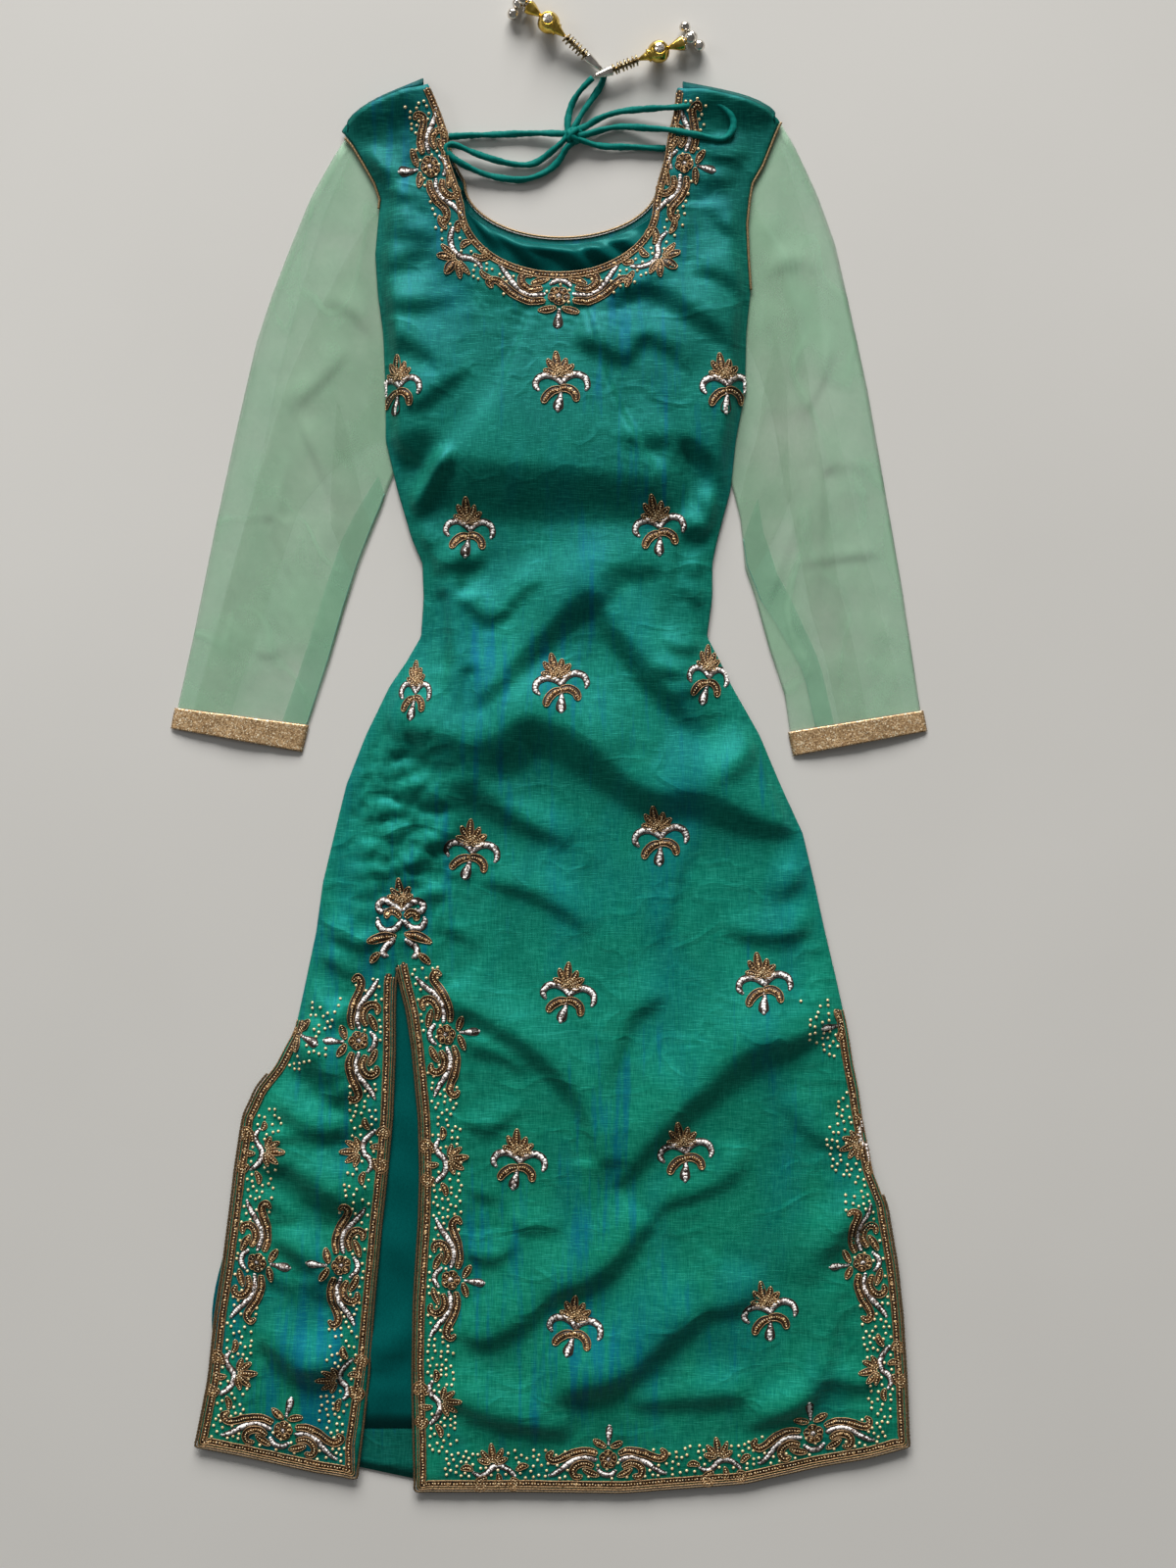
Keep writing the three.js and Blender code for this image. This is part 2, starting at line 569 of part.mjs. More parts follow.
/** A flat tube as a ring of points for each row: over the top, then back under. */
function flatTube(rowPlaces, steps, air, thickness) {
  const shares = range(0, steps).map((k) => k / steps);
  const under = shares.slice(1, -1).reverse();
  under[0] = 1 - UNDER_INSET;
  under[under.length - 1] = UNDER_INSET;
  const points = [];
  for (const place of rowPlaces) {
    for (const t of shares) {
      const { x, y } = place(t);
      points.push(at(x, y, UNDER_Z + EDGE_RISE + air * Math.sin(Math.PI * t) ** 0.6));
    }
    for (const t of under) {
      const { x, y } = place(t);
      points.push(at(x, y, UNDER_Z));
    }
  }
  const ring = shares.length + under.length;
  const quads = [];
  for (let i = 0; i + 1 < rowPlaces.length; i += 1) {
    for (let k = 0; k < ring; k += 1) {
      const next = (k + 1) % ring;
      quads.push([i * ring + k, (i + 1) * ring + k, (i + 1) * ring + next, i * ring + next]);
    }
  }
  return wall(points, quads, thickness);
}

const mirrored = (hand, t) => (hand < 0 ? t : 1 - t); // rings run from left to right on either sleeve

function sleeveGeometry(sleeve) {
  const rows = range(0, SLEEVE_ROWS).map((i) => (t) => sleevePlace(sleeve, i / SLEEVE_ROWS, mirrored(sleeve.hand, t)));
  return flatTube(rows, SLEEVE_STEPS, SLEEVE_AIR, SHEER);
}

function cuffGeometry({ hand, cuff }) {
  const corner = (name) => new THREE.Vector2(...cuff[name]);
  const along = (name, end, s) => corner(name).lerp(corner(end), s);
  const rows = range(0, 2).map((i) => (t) => {
    const s = i / 2;
    return along('outerTop', 'outerEnd', s).lerp(along('innerTop', 'innerEnd', s), mirrored(hand, t));
  });
  return flatTube(rows, 6, SLEEVE_AIR, SHEER);
}

// ---- Piping -------------------------------------------------------------------------------------------------------
const PIPING_SIDES = 5;
const HEM_LIFT = LINING_Z + SHEER / 2 + GAP + PIPING_RADIUS - FRONT_Z; // clears the lining under the front's edge

/** Piping beside an edge: the edge's points moved outwards, away from the cloth, and up. */
function pipingBeside(edge, outward, lift, offset = PIPING_RADIUS + GAP) {
  const moved = edge.map((point, k) => {
    const before = edge[Math.max(k - 1, 0)];
    const after = edge[Math.min(k + 1, edge.length - 1)];
    const tangent = after.clone().sub(before).normalize();
    const side = new THREE.Vector3(0, 0, outward).cross(tangent).normalize();
    const beside = point.clone().addScaledVector(side, offset);
    return beside.setZ(point.z + lift);
  });
  return tube(moved, PIPING_RADIUS, PIPING_SIDES);
}

function rowAtLeast(grid, column, down) {
  return range(0, grid.rows).find((i) => SHOULDER_Y - grid.line([[i, column]])[0].y > down);
}

const leftFlapEdge = () => [
  ...range(rowAtLeast(FRONT, 0, SEWN_TO.left + 8), FRONT.rows).map((i) => [i, 0]),
  ...range(1, FRONT.sideColumns).map((j) => [FRONT.rows, j]),
  ...range(FRONT.rows - 1, FRONT.slitRow + 1).map((i) => [i, FRONT.sideColumns]),
];
const rightFlapEdge = () => [
  ...range(FRONT.slitRow + 1, FRONT.rows).map((i) => [i, FRONT.sideColumns, true]),
  ...range(FRONT.sideColumns + 1, FRONT.columns).map((j) => [FRONT.rows, j, true]),
  ...range(FRONT.rows - 1, rowAtLeast(FRONT, FRONT.columns, SEWN_TO.right + 8)).map((i) => [i, FRONT.columns, true]),
];
const backNeckEdge = () => [
  ...range(1, BACK.strapRows).map((i) => [i, BACK.sideColumns]),
  ...range(BACK.sideColumns + 1, BACK.neckEnd).map((j) => [BACK.strapRows, j]),
  ...range(BACK.strapRows - 1, 1).map((i) => [i, BACK.neckEnd]),
];

/** The piping in the armhole's seam, between the body's side and the sleeve's head. */
function armholePiping(name, hand) {
  const from = SLEEVES[name].tip - 2;
  const points = range(0, 12).map((k) => {
    const down = lerp(from, PIPED_TO[name], k / 12);
    return at(sideAt(down)[name] + hand * 1.4, down, 3.6);
  });
  return tube(points, PIPING_RADIUS, PIPING_SIDES);
}

// ---- The tie cords and their bow -------------------------------------------------------------------------------------
const KNOT = { x: 19, down: 45, halfLength: 7.4, halfWidth: 6.6, halfHeight: 5 };
const CORD_SIDES = 6;
const LOW = CORD_RADIUS + 0.2;

// Points of each cord: x, down, and how high its middle lies over what is under it.
const CORDS = {
  tie_left: [[-76.4, 45, LOW], [-60, 44, LOW], [-30, 43, LOW], [-5, 42.5, 3.6], [11.2, 43.5, 5]],
  tie_right: [[26.5, 49, 5], [40, 52.5, 3.6], [65, 53, LOW], [89, 54, LOW]],
  loop_left: [
    [14, 52.4, 5], [9, 62, 3.4], [0, 70.5, LOW], [-12, 76, LOW], [-24, 78, LOW], [-47, 74.5, 3.4], [-67, 66.5, 6.8],
    [-79, 57.5, 8.4], [-77, 52.3, 8.5], [-70, 53, 7.6], [-56, 58.5, 5], [-33, 65, 3], [-15, 66.5, LOW], [-5, 62, 3], [4.5, 54.5, 4],
    [11, 49.2, 4.8],
  ],
  loop_right: [
    [26.4, 39.4, 5], [33, 34.5, 4.6], [43, 29.5, 4.2], [56, 26, 4.5], [73, 25, 6], [88, 25, 9], [97, 25, 10.2], [116, 23, 10.6],
    [129, 23.5, 10.8], [138, 30, 10.8], [141, 39, 10.8], [137, 47, 10.8], [130, 50, 10.8], [116, 47, 10.6], [96, 42.5, 9.6], [86, 41, 8.4],
    [76, 39.6, 5.6], [64, 38, 4.2], [52, 37.6, 3.6], [41, 40, 4], [27.2, 44.4, 5],
  ],
  tail_left: [[14.1, 38, 5.4], [15, 28, 3.6], [19, 17, 3.4], [25.5, 8.5, 5], [33.4, 2, 8.4]],
  tail_right: [[20, 37.9, 5.4], [25.4, 27, 3.6], [33, 16, 3], [38.8, 7.4, 2.7], [42, 0.4, 2.7], [42.8, -3.4, 2.9], [41.4, -5.4, 3.4]],
};
const CORD_STEPS = { tie_left: 7, tie_right: 5, loop_left: 24, loop_right: 30, tail_left: 6, tail_right: 9 };

function knotGeometry() {
  const geometry = new THREE.SphereGeometry(1, 10, 7);
  geometry.scale(KNOT.halfLength, KNOT.halfWidth, KNOT.halfHeight);
  geometry.translate(KNOT.x, SHOULDER_Y - KNOT.down, KNOT.halfHeight + 0.2);
  return geometry;
}

// ---- The bead tassels: turned pieces threaded on a line -----------------------------------------------------------------
const BEAD_SEGMENTS = 8;
const BALL_RADIUS = 4.5;
// Each piece's profile: [distance along the thread, radius], from its cord end to its far end.
const TASSEL_PIECES = [
  { name: 'cone', finish: 'silver', profile: [[0, 1.1], [2, 1.6], [14, 3.3], [15, 2.6]] },
  {
    name: 'discs', finish: 'brass',
    profile: range(0, 14).map((k) => [15.3 + k * 1.5, k % 2 ? 3.7 : 2.5]),
  },
  {
    name: 'bead', finish: 'gilt',
    profile: [[36.6, 0.9], [42, 1.7], [46.5, 3.4], [49, 5.9], [52, 7], [55, 7], [58, 5.6], [60.4, 2.6], [61, 1.4]],
  },
  { name: 'cap', finish: 'gilt', profile: [[61.3, 1.2], [65, 2.2], [69, 4.3], [72.5, 4.4], [76.6, 1.8]] },
];
// The cluster of balls past the cap: along the thread, across it, height.
const BALLS = [
  { along: 78.9, across: -11.4, z: 4.7 }, { along: 81.2, across: -2.8, z: 4.7 }, { along: 83.9, across: 5.7, z: 4.7 },
  { along: 78.2, across: 0.4, z: 12.4 },
];
// The right tassel's cone lies over the cord that ends in the left one. Heights are those of its two ends.
const TASSELS = {
  right: { start: [34.4, 1.4], towards: [107, -27], cone: [9, 7.6] },
  left: { start: [40.2, -5.9], towards: [-18, -55], cone: [3.7, 4.3] },
};

function turned(profile, place) {
  const ends = [profile[0][0], profile[profile.length - 1][0]].map(place);
  const axis = ends[1].clone().sub(ends[0]);
  const first = profile[0][0];
  const outline = [
    new THREE.Vector2(0, 0),
    ...profile.map(([along, radius]) => new THREE.Vector2(radius, along - first)),
    new THREE.Vector2(0, profile[profile.length - 1][0] - first),
  ];
  const geometry = new THREE.LatheGeometry(outline, BEAD_SEGMENTS);
  geometry.applyQuaternion(new THREE.Quaternion().setFromUnitVectors(new THREE.Vector3(0, 1, 0), axis.normalize()));
  geometry.translate(ends[0].x, ends[0].y, ends[0].z);
  return geometry;
}

function tasselParts(name) {
  const { start, towards, cone } = TASSELS[name];
  const thread = [[0, cone[0]], [15, cone[1]], [36.6, 7.2], [61, 7.2], [76, 4.8]].map(([along, z]) => ({ along, z }));
  const heading = new THREE.Vector2(...towards).sub(new THREE.Vector2(...start)).normalize();
  const place = (along, across = 0, z = read(thread, 'z', along, 'along')) =>
    at(start[0] + heading.x * along - heading.y * across, start[1] + heading.y * along + heading.x * across, z);
  const parts = TASSEL_PIECES.map((piece) => [`tassel_${name}_${piece.name}`, turned(piece.profile, (s) => place(s)), piece.finish]);
  BALLS.forEach(({ along, across, z }, k) => {
    const ball = new THREE.SphereGeometry(BALL_RADIUS, 8, 6);
    ball.rotateX(Math.PI / 2);
    const middle = place(along, across, z);
    ball.translate(middle.x, middle.y, middle.z);
    parts.push([`tassel_${name}_ball_${k + 1}`, ball, 'silver']);
  });
  return parts;
}

// ---- The group ------------------------------------------------------------------------------------------------------------
const FINISHES = {
  silk: { color: 0x158a78, roughness: 0.5, metalness: 0.05 },
  satin: { color: 0x04655f, roughness: 0.4, metalness: 0 },
  organza: { color: 0xa3cdb2, roughness: 0.55, metalness: 0 },
  ribbon: { color: 0x9c7a52, roughness: 0.4, metalness: 0.6 },
  piping: { color: 0x8c6d49, roughness: 0.45, metalness: 0.6 },
  cord: { color: 0x0c6f63, roughness: 0.6, metalness: 0 },
  brass: { color: 0x9a8250, roughness: 0.3, metalness: 1 },
  gilt: { color: 0xc79a1e, roughness: 0.25, metalness: 1 },
  silver: { color: 0xc9c4bb, roughness: 0.25, metalness: 1 },
};
const materials = Object.fromEntries(Object.entries(FINISHES).map(([name, look]) => [name, new THREE.MeshStandardMaterial(look)]));

const kurta = new THREE.Group();
function add(name, geometry, finish) {
  const mesh = new THREE.Mesh(geometry, materials[finish]);
  mesh.name = name;
  kurta.add(mesh);
}

add('front_panel', wall(FRONT.points, FRONT.quads, CLOTH), 'silk');
add('back_panel', wall(BACK.points, BACK.quads, CLOTH), 'silk');
add('back_lining', wall(LINING.points, LINING.quads, SHEER), 'satin');
add('back_hem_facing', hemFacing(), 'satin');
for (const [name, sleeve] of Object.entries(SLEEVES)) {
  add(`sleeve_${name}`, sleeveGeometry(sleeve), 'organza');
  add(`cuff_${name}`, cuffGeometry(sleeve), 'ribbon');
  add(`piping_armhole_${name}`, armholePiping(name, sleeve.hand), 'piping');
}
add('piping_left_flap', pipingBeside(FRONT.line(leftFlapEdge()), -1, HEM_LIFT), 'piping');
add('piping_right_flap', pipingBeside(FRONT.line(rightFlapEdge()), -1, HEM_LIFT), 'piping');
add('piping_back_neck', pipingBeside(BACK.line(backNeckEdge()), 1, PIPING_RADIUS - BACK_Z + 0.02), 'piping');
for (const [name, route] of Object.entries(CORDS)) {
  const points = route.map(([x, down, z]) => at(x, down, z));
  add(name, tube(curveThrough(points, CORD_STEPS[name]), CORD_RADIUS, CORD_SIDES), 'cord');
}
add('tie_knot', knotGeometry(), 'cord');
for (const name of Object.keys(TASSELS)) {
  for (const part of tasselParts(name)) add(...part);
}

export default kurta;
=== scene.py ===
# %% [markdown]
# # A silk kurta, laid flat
# This file dresses the solid model of a kurta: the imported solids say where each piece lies, and every cell
# below makes one real piece of the garment over them, such as a panel of shot silk, a sheer sleeve or a row
# of sequins. Lengths in the tables are millimetres. "down" is measured from the top of the shoulders, as on a
# pattern.

# %% The frame
import math

import bpy
import numpy as np
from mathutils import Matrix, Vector


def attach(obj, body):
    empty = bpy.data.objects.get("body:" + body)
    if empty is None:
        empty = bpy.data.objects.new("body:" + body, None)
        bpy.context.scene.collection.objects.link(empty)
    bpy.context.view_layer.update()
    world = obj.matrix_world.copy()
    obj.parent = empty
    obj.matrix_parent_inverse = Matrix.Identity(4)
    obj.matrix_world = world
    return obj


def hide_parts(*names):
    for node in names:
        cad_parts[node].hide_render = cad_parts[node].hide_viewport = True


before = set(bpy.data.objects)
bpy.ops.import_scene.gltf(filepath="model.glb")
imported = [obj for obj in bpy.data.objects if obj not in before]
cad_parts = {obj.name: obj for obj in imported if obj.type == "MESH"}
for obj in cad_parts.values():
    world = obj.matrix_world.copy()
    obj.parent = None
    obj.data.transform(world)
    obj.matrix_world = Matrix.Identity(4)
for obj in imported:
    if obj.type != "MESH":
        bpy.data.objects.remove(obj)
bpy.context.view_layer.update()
print("solids in the frame:", len(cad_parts))

# %% [markdown]
# ## Camera
# The garment lies on a pale surface and is looked at straight from above, so the camera hangs over its middle
# and points down, with the neck upwards. A moderate lens keeps the edges from leaning.

# %% Camera
MM = 0.001
SHOULDER_Y = 540.0
VIEW_HEIGHT = 1.2
LENS, SENSOR = 45.0, 36.0
VIEW_MIDDLE = (0.0298, 0.0006)

camera_data = bpy.data.cameras.new("camera")
camera_data.lens, camera_data.sensor_width = LENS, SENSOR
camera = bpy.data.objects.new("camera", camera_data)
camera.location = (*VIEW_MIDDLE, VIEW_HEIGHT * LENS / SENSOR)
bpy.context.scene.collection.objects.link(camera)
bpy.context.scene.camera = camera
print("camera height, m:", round(camera.location.z, 3))

# %% [markdown]
# ## The pattern's outline
# A pattern cutter keeps a garment as a few edge lines. Each table here is one: its rows run down the garment,
# and each column is an edge. `read` gives the edge at any height, so every panel is drawn from the same
# lines.

# %% Outline tables
SIDES = np.array([  # down, left edge, right edge
    (28, -161, 180), (42, -159, 173), (52, -150, 169), (67, -141, 163), (81, -133, 155), (93, -129, 153),
    (112, -131, 151), (135, -133, 152), (165, -131, 154), (195, -127, 151), (240, -125, 150),
    (277, -125, 143), (315, -116, 139), (352, -105, 129), (371, -97, 125), (397, -96, 125), (427, -98, 121),
    (446, -109, 131), (465, -122, 140), (502, -140, 161), (540, -155, 177), (577, -164, 194),
    (615, -173, 203), (652, -178, 211), (690, -186, 220), (727, -194, 228), (753, -208, 232),
    (772, -223, 236), (794, -233, 239), (834, -239, 247), (860, -242, 257), (907, -248, 265),
    (945, -254, 269), (992, -259, 272), (1044, -269, 274)], float)
FRONT_STRAPS = np.array([
    (3, -95, 102), (12, -89, 97), (29, -82, 95), (44, -77, 91), (63, -76, 88), (75, -72, 85), (89, -67, 81),
    (100, -64, 79)], float)
BACK_STRAPS = np.array([
    (3, -97, 104), (12, -91, 100), (29, -84, 97), (44, -79, 94), (63, -75, 90), (80, -66, 85)], float)
SLIT = np.array([
    (676, -116, -116), (692, -118.5, -112.5), (714, -119, -107), (742, -119, -103), (794, -121, -98),
    (837, -125, -97), (873, -129, -98), (936, -135, -102), (981, -139, -103), (1044, -148, -101)], float)
HEM = np.array([
    (-269, 1044), (-233, 1051), (-179, 1063), (-148, 1068), (-101, 1078), (-15, 1078), (55, 1079), (94, 1076),
    (148, 1072), (206, 1059), (246, 1052), (274, 1044)], float)
SHOULDERS = {"left": ((-160, 35.5), (-96, 0.5)), "right": ((180, 28), (101, 3.1))}
FRONT_CURVE = dict(middle=7.5, half_width=71.5, drop=50.0)
BACK_CURVE = dict(middle=9.5, half_width=75.5, drop=43.0)
NECK_CORNER, BACK_CORNER, SLIT_TOP, HEM_LEVEL, LINING_HEM = 100.0, 80.0, 676.0, 1044.0, 1031.0
SEWN_TO = {"left": 753.0, "right": 834.0}
SHOULDER_ROLL, SHOULDER_CURVE = 6.4, 6.4
FRONT_Z, LINING_Z, BACK_Z = 3.4, 2.0, 0.6


def read(table, column, at):
    return np.interp(at, table[:, 0], table[:, column])


def smooth(x, low, high):
    t = np.clip((np.asarray(x, float) - low) / (high - low), 0, 1)
    return t * t * (3 - 2 * t)


def lerp(a, b, t):
    return a + (b - a) * t


def side_edges(down):
    return read(SIDES, 1, down), read(SIDES, 2, down)


def hem_at(x):
    return np.interp(x, HEM[:, 0], HEM[:, 1])


def shoulder_at(name, x):
    tip, neck = SHOULDERS[name]
    t = np.clip((x - tip[0]) / (neck[0] - tip[0]), 0, 1)
    return lerp(tip[1], neck[1], t) - SHOULDER_CURVE * np.sin(np.pi * t ** 0.55)


def to_metres(x, down, z):
    """Points in metres from places on the pattern."""
    return np.stack([np.asarray(x) * MM, (SHOULDER_Y - np.asarray(down)) * MM, np.asarray(z) * MM], axis=-1)


print("waist width, mm:", float(np.diff([float(e) for e in side_edges(385.0)])[0]))

# %% [markdown]
# ## The folds of the front
# Silk of this stiffness lies in long soft ridges with a gentle side and a steep side. Each row below is one
# ridge: where its crest starts, bends and ends, how wide it is and how high. A cloth simulation would give
# other folds each time a value changes, so the ridges are listed one by one and added up, and small creases
# follow in the same way.

# %% Fold tables and the height of the front
FOLDS = [  # how far the gentle side reaches, then crest points: x, down, reach of the steep side, height
    (22, [(-130, 111, 6, 0), (-121, 113, 12, 3.5), (-104, 117, 12, 4), (-92, 110, 8, 0)]),
    (10, [(-132, 141, 6, 0), (-124, 142, 12, 3.5), (-112, 138, 14, 4), (-98, 128, 10, 2.5),
          (-86, 112, 6, 0)]),
    (12, [(-130, 171, 7, 1), (-118, 172, 11, 4.5), (-102, 174, 11, 4.5), (-84, 172, 7, 2), (-70, 164, 6, 0)]),
    (14, [(-128, 199, 14, 4), (-116, 199, 16, 5), (-104, 204, 11, 4), (-90, 213, 10, 3.5), (-76, 226, 7, 0)]),
    (12, [(-108, 258, 6, 0), (-98, 250, 9, 3.5), (-84, 239, 9, 4), (-70, 229, 8, 3), (-58, 222, 6, 0)]),
    (16, [(108, 146, 6, 0), (120, 147, 9, 3.5), (136, 153, 10, 4), (154, 166, 8, 3)]),
    (16, [(44, 168, 6, 0), (58, 164, 9, 3), (72, 160, 11, 4.5), (86, 163, 12, 5), (102, 173, 13, 5.5),
          (118, 184, 13, 5.5), (132, 194, 12, 4), (144, 208, 9, 0)]),
    (14, [(18, 196, 8, 0), (28, 201, 13, 5), (42, 206, 13, 5.5), (54, 213, 10, 4), (60, 212, 9, 3.5),
          (67, 202, 8, 4), (76, 199, 8, 4), (88, 204, 9, 4), (102, 216, 8, 2), (112, 228, 6, 0)]),
    (14, [(50, 272, 7, 0), (62, 276, 10, 3), (76, 278, 10, 3.5), (88, 276, 8, 2.5), (98, 268, 6, 0)]),
    # the deep fold under the bust, with a lobe at each dart
    (80, [(-123, 292, 12, 2), (-116, 279, 36, 9), (-104, 271, 36, 11), (-90, 271, 28, 10), (-78, 279, 30, 10),
          (-66, 288, 42, 13), (-50, 295, 44, 14), (-20, 297, 44, 14), (10, 299, 42, 14), (44, 303, 38, 13),
          (74, 306, 36, 12), (84, 303, 30, 10), (91, 292, 20, 7), (97, 281, 13, 7.5), (104, 276, 12, 8.5),
          (114, 281, 12, 8.5), (124, 290, 12, 8), (132, 303, 12, 6), (138, 320, 10, 2)]),
    (20, [(100, 334, 6, 0), (108, 339, 12, 3), (117, 343, 12, 3.2), (127, 348, 8, 0)]),
    (5, [(-72, 282, 4, 0), (-78, 294, 9, 4.5), (-87, 308, 9, 5), (-96, 324, 8, 4), (-103, 338, 5, 0)]),
    (7, [(-112, 342, 5, 0), (-104, 330, 7, 3), (-92, 314, 8, 4.5), (-81, 297, 9, 5), (-76, 286, 6, 0)]),
    (8, [(112, 318, 6, 0), (120, 324, 8, 3), (126, 338, 8, 3), (130, 352, 6, 0)]),
    (7, [(98, 352, 5, 0), (108, 346, 7, 2.6), (120, 346, 7, 2.4), (128, 352, 5, 0)]),
    (7, [(102, 380, 5, 0), (110, 376, 7, 2.6), (122, 374, 7, 2.6), (128, 378, 5, 0)]),
    (8, [(96, 390, 5, 0), (104, 391, 7, 2.4), (114, 398, 7, 2.4), (122, 406, 5, 0)]),
    (8, [(-103, 356, 8, 2), (-96, 354, 13, 4), (-88, 356, 10, 2), (-82, 362, 6, 0)]),
    (10, [(-92, 380, 6, 0), (-84, 373, 9, 3), (-70, 369, 10, 4), (-56, 367, 9, 3.5), (-48, 358, 6, 0)]),
    (12, [(-68, 390, 6, 0), (-60, 400, 9, 3.5), (-48, 409, 10, 4.5), (-38, 408, 10, 4.5), (-28, 399, 9, 4),
          (-16, 388, 8, 3), (0, 383, 6, 0)]),
    # the crossed pair at the waist
    (22, [(92, 372, 8, 0), (76, 373, 12, 4), (56, 374, 16, 6.5), (42, 380, 20, 9), (28, 391, 22, 10),
          (12, 404, 20, 9.5), (-2, 420, 17, 8), (-16, 434, 15, 7), (-32, 450, 14, 6), (-48, 468, 12, 4.5),
          (-66, 484, 8, 0)]),
    (22, [(34, 386, 8, 0), (40, 400, 12, 5), (50, 416, 15, 7), (62, 431, 16, 7.5), (74, 445, 17, 8),
          (86, 460, 17, 8), (98, 474, 15, 6.5), (108, 488, 11, 4), (116, 502, 8, 0)]),
    (7, [(86, 424, 5, 0), (94, 434, 6, 2.4), (106, 436, 6, 2.8), (120, 430, 5, 1.4), (126, 424, 5, 0)]),
    (6, [(76, 448, 5, 0), (86, 452, 6, 2.6), (100, 455, 6, 2.8), (112, 450, 5, 0)]),
    (6, [(88, 468, 5, 0), (98, 470, 6, 2), (112, 466, 6, 2), (124, 468, 5, 0)]),
    (9, [(164, 500, 6, 0), (154, 510, 9, 3), (142, 524, 11, 4), (128, 536, 8, 2), (118, 540, 6, 0)]),
    # the long fold over the hips
    (26, [(-126, 500, 8, 0), (-116, 497, 14, 5), (-100, 495, 24, 9), (-84, 500, 34, 13), (-68, 506, 34, 14),
          (-54, 507, 34, 14), (-38, 501, 34, 14), (-26, 491, 32, 14), (-14, 488, 30, 13), (2, 492, 28, 12),
          (20, 500, 28, 12), (36, 511, 28, 12), (50, 525, 24, 10.5), (64, 537, 21, 9.5), (80, 544, 21, 9),
          (96, 545, 23, 9.5), (112, 543, 24, 10), (130, 548, 24, 10), (148, 559, 20, 8.5),
          (166, 567, 15, 6.5), (182, 571, 10, 4), (194, 574, 6, 0)]),
    (10, [(-118, 543, 6, 0), (-104, 540, 16, 4), (-88, 541, 22, 6.5), (-70, 541, 22, 7), (-56, 540, 20, 7),
          (-46, 546, 18, 6.5), (-32, 558, 15, 5.5), (-16, 568, 12, 4.5), (0, 576, 10, 3.5), (20, 584, 7, 0)]),
    (8, [(-112, 612, 6, 0), (-100, 598, 9, 3), (-86, 580, 12, 4), (-72, 568, 12, 4), (-60, 558, 8, 0)]),
    (12, [(-54, 612, 5, 0), (-38, 615, 7, 3), (-16, 620, 8, 3.5), (0, 627, 9, 3.5), (18, 638, 9, 3),
          (34, 654, 6, 0)]),
    (14, [(116, 566, 6, 0), (104, 590, 9, 2), (95, 614, 9, 2.2), (90, 640, 9, 2), (80, 668, 6, 0)]),
    (10, [(176, 630, 5, 0), (182, 618, 9, 3.5), (192, 609, 9, 3.5), (202, 606, 7, 1)]),
    (10, [(132, 646, 5, 0), (146, 651, 8, 2.6), (166, 654, 10, 3.4), (188, 650, 10, 3.4), (206, 638, 7, 1)]),
    # beside and right of the slit
    (14, [(-84, 694, 6, 0), (-74, 704, 11, 4), (-56, 713, 12, 5), (-38, 722, 13, 5.5), (-20, 733, 14, 6),
          (-4, 745, 14, 6), (8, 758, 13, 5.5), (20, 772, 12, 5), (30, 788, 12, 4.5), (36, 806, 11, 4),
          (38, 830, 9, 2.5), (34, 860, 7, 0)]),
    (8, [(-68, 736, 5, 0), (-56, 739, 7, 3), (-42, 743, 7, 3), (-26, 752, 6, 2), (-16, 762, 5, 0)]),
    (14, [(92, 698, 6, 0), (78, 704, 9, 3), (64, 712, 10, 3.5), (55, 728, 10, 3.5), (48, 750, 9, 3),
          (44, 778, 6, 0)]),
    (24, [(226, 716, 8, 2), (206, 722, 13, 5), (184, 731, 18, 8), (164, 735, 22, 10), (147, 742, 22, 10),
          (132, 755, 20, 9), (118, 769, 18, 8.5), (104, 779, 17, 8), (94, 791, 16, 7.5), (84, 802, 15, 7),
          (72, 815, 14, 6), (58, 834, 11, 4), (42, 850, 7, 0)]),
    (12, [(150, 812, 5, 0), (145, 826, 7, 2.4), (134, 840, 8, 3), (114, 849, 8, 3), (92, 856, 8, 3),
          (80, 868, 7, 2), (76, 884, 5, 0)]),
    (9, [(176, 778, 5, 0), (186, 788, 7, 2.2), (200, 804, 8, 2.6), (216, 812, 7, 2), (232, 812, 5, 0)]),
    (8, [(-66, 794, 5, 0), (-56, 800, 7, 2.4), (-44, 800, 8, 2.8), (-32, 792, 7, 2.2), (-18, 786, 5, 0)]),
    (8, [(-66, 846, 5, 0), (-54, 850, 7, 2.2), (-44, 854, 6, 1.6), (-34, 852, 5, 0)]),
    (8, [(-68, 890, 5, 0), (-58, 896, 8, 3), (-44, 899, 9, 3.4), (-32, 894, 7, 2), (-22, 884, 5, 0)]),
    (9, [(-34, 872, 5, 0), (-20, 876, 7, 2), (0, 876, 7, 2), (14, 872, 5, 0)]),
    (20, [(78, 868, 6, 0), (68, 878, 12, 5), (54, 891, 16, 7), (42, 904, 17, 7.5), (26, 915, 16, 7),
          (8, 922, 14, 6.5), (-6, 931, 14, 6), (-18, 943, 13, 6), (-34, 954, 13, 5.5), (-50, 960, 12, 5),
          (-66, 958, 8, 2), (-76, 952, 5, 0)]),
    (22, [(160, 906, 5, 0), (155, 920, 9, 3.5), (146, 932, 11, 5), (132, 936, 12, 5), (118, 937, 14, 6),
          (105, 945, 17, 8), (92, 955, 17, 8), (79, 966, 17, 8), (64, 980, 18, 8.5), (44, 990, 22, 10),
          (22, 996, 20, 8.5), (4, 1003, 14, 4), (-12, 1010, 8, 0)]),
    (14, [(-84, 1000, 6, 0), (-72, 1005, 10, 4), (-56, 1013, 14, 6), (-38, 1019, 15, 6.5), (-18, 1024, 14, 6),
          (4, 1029, 12, 5), (22, 1034, 8, 0)]),
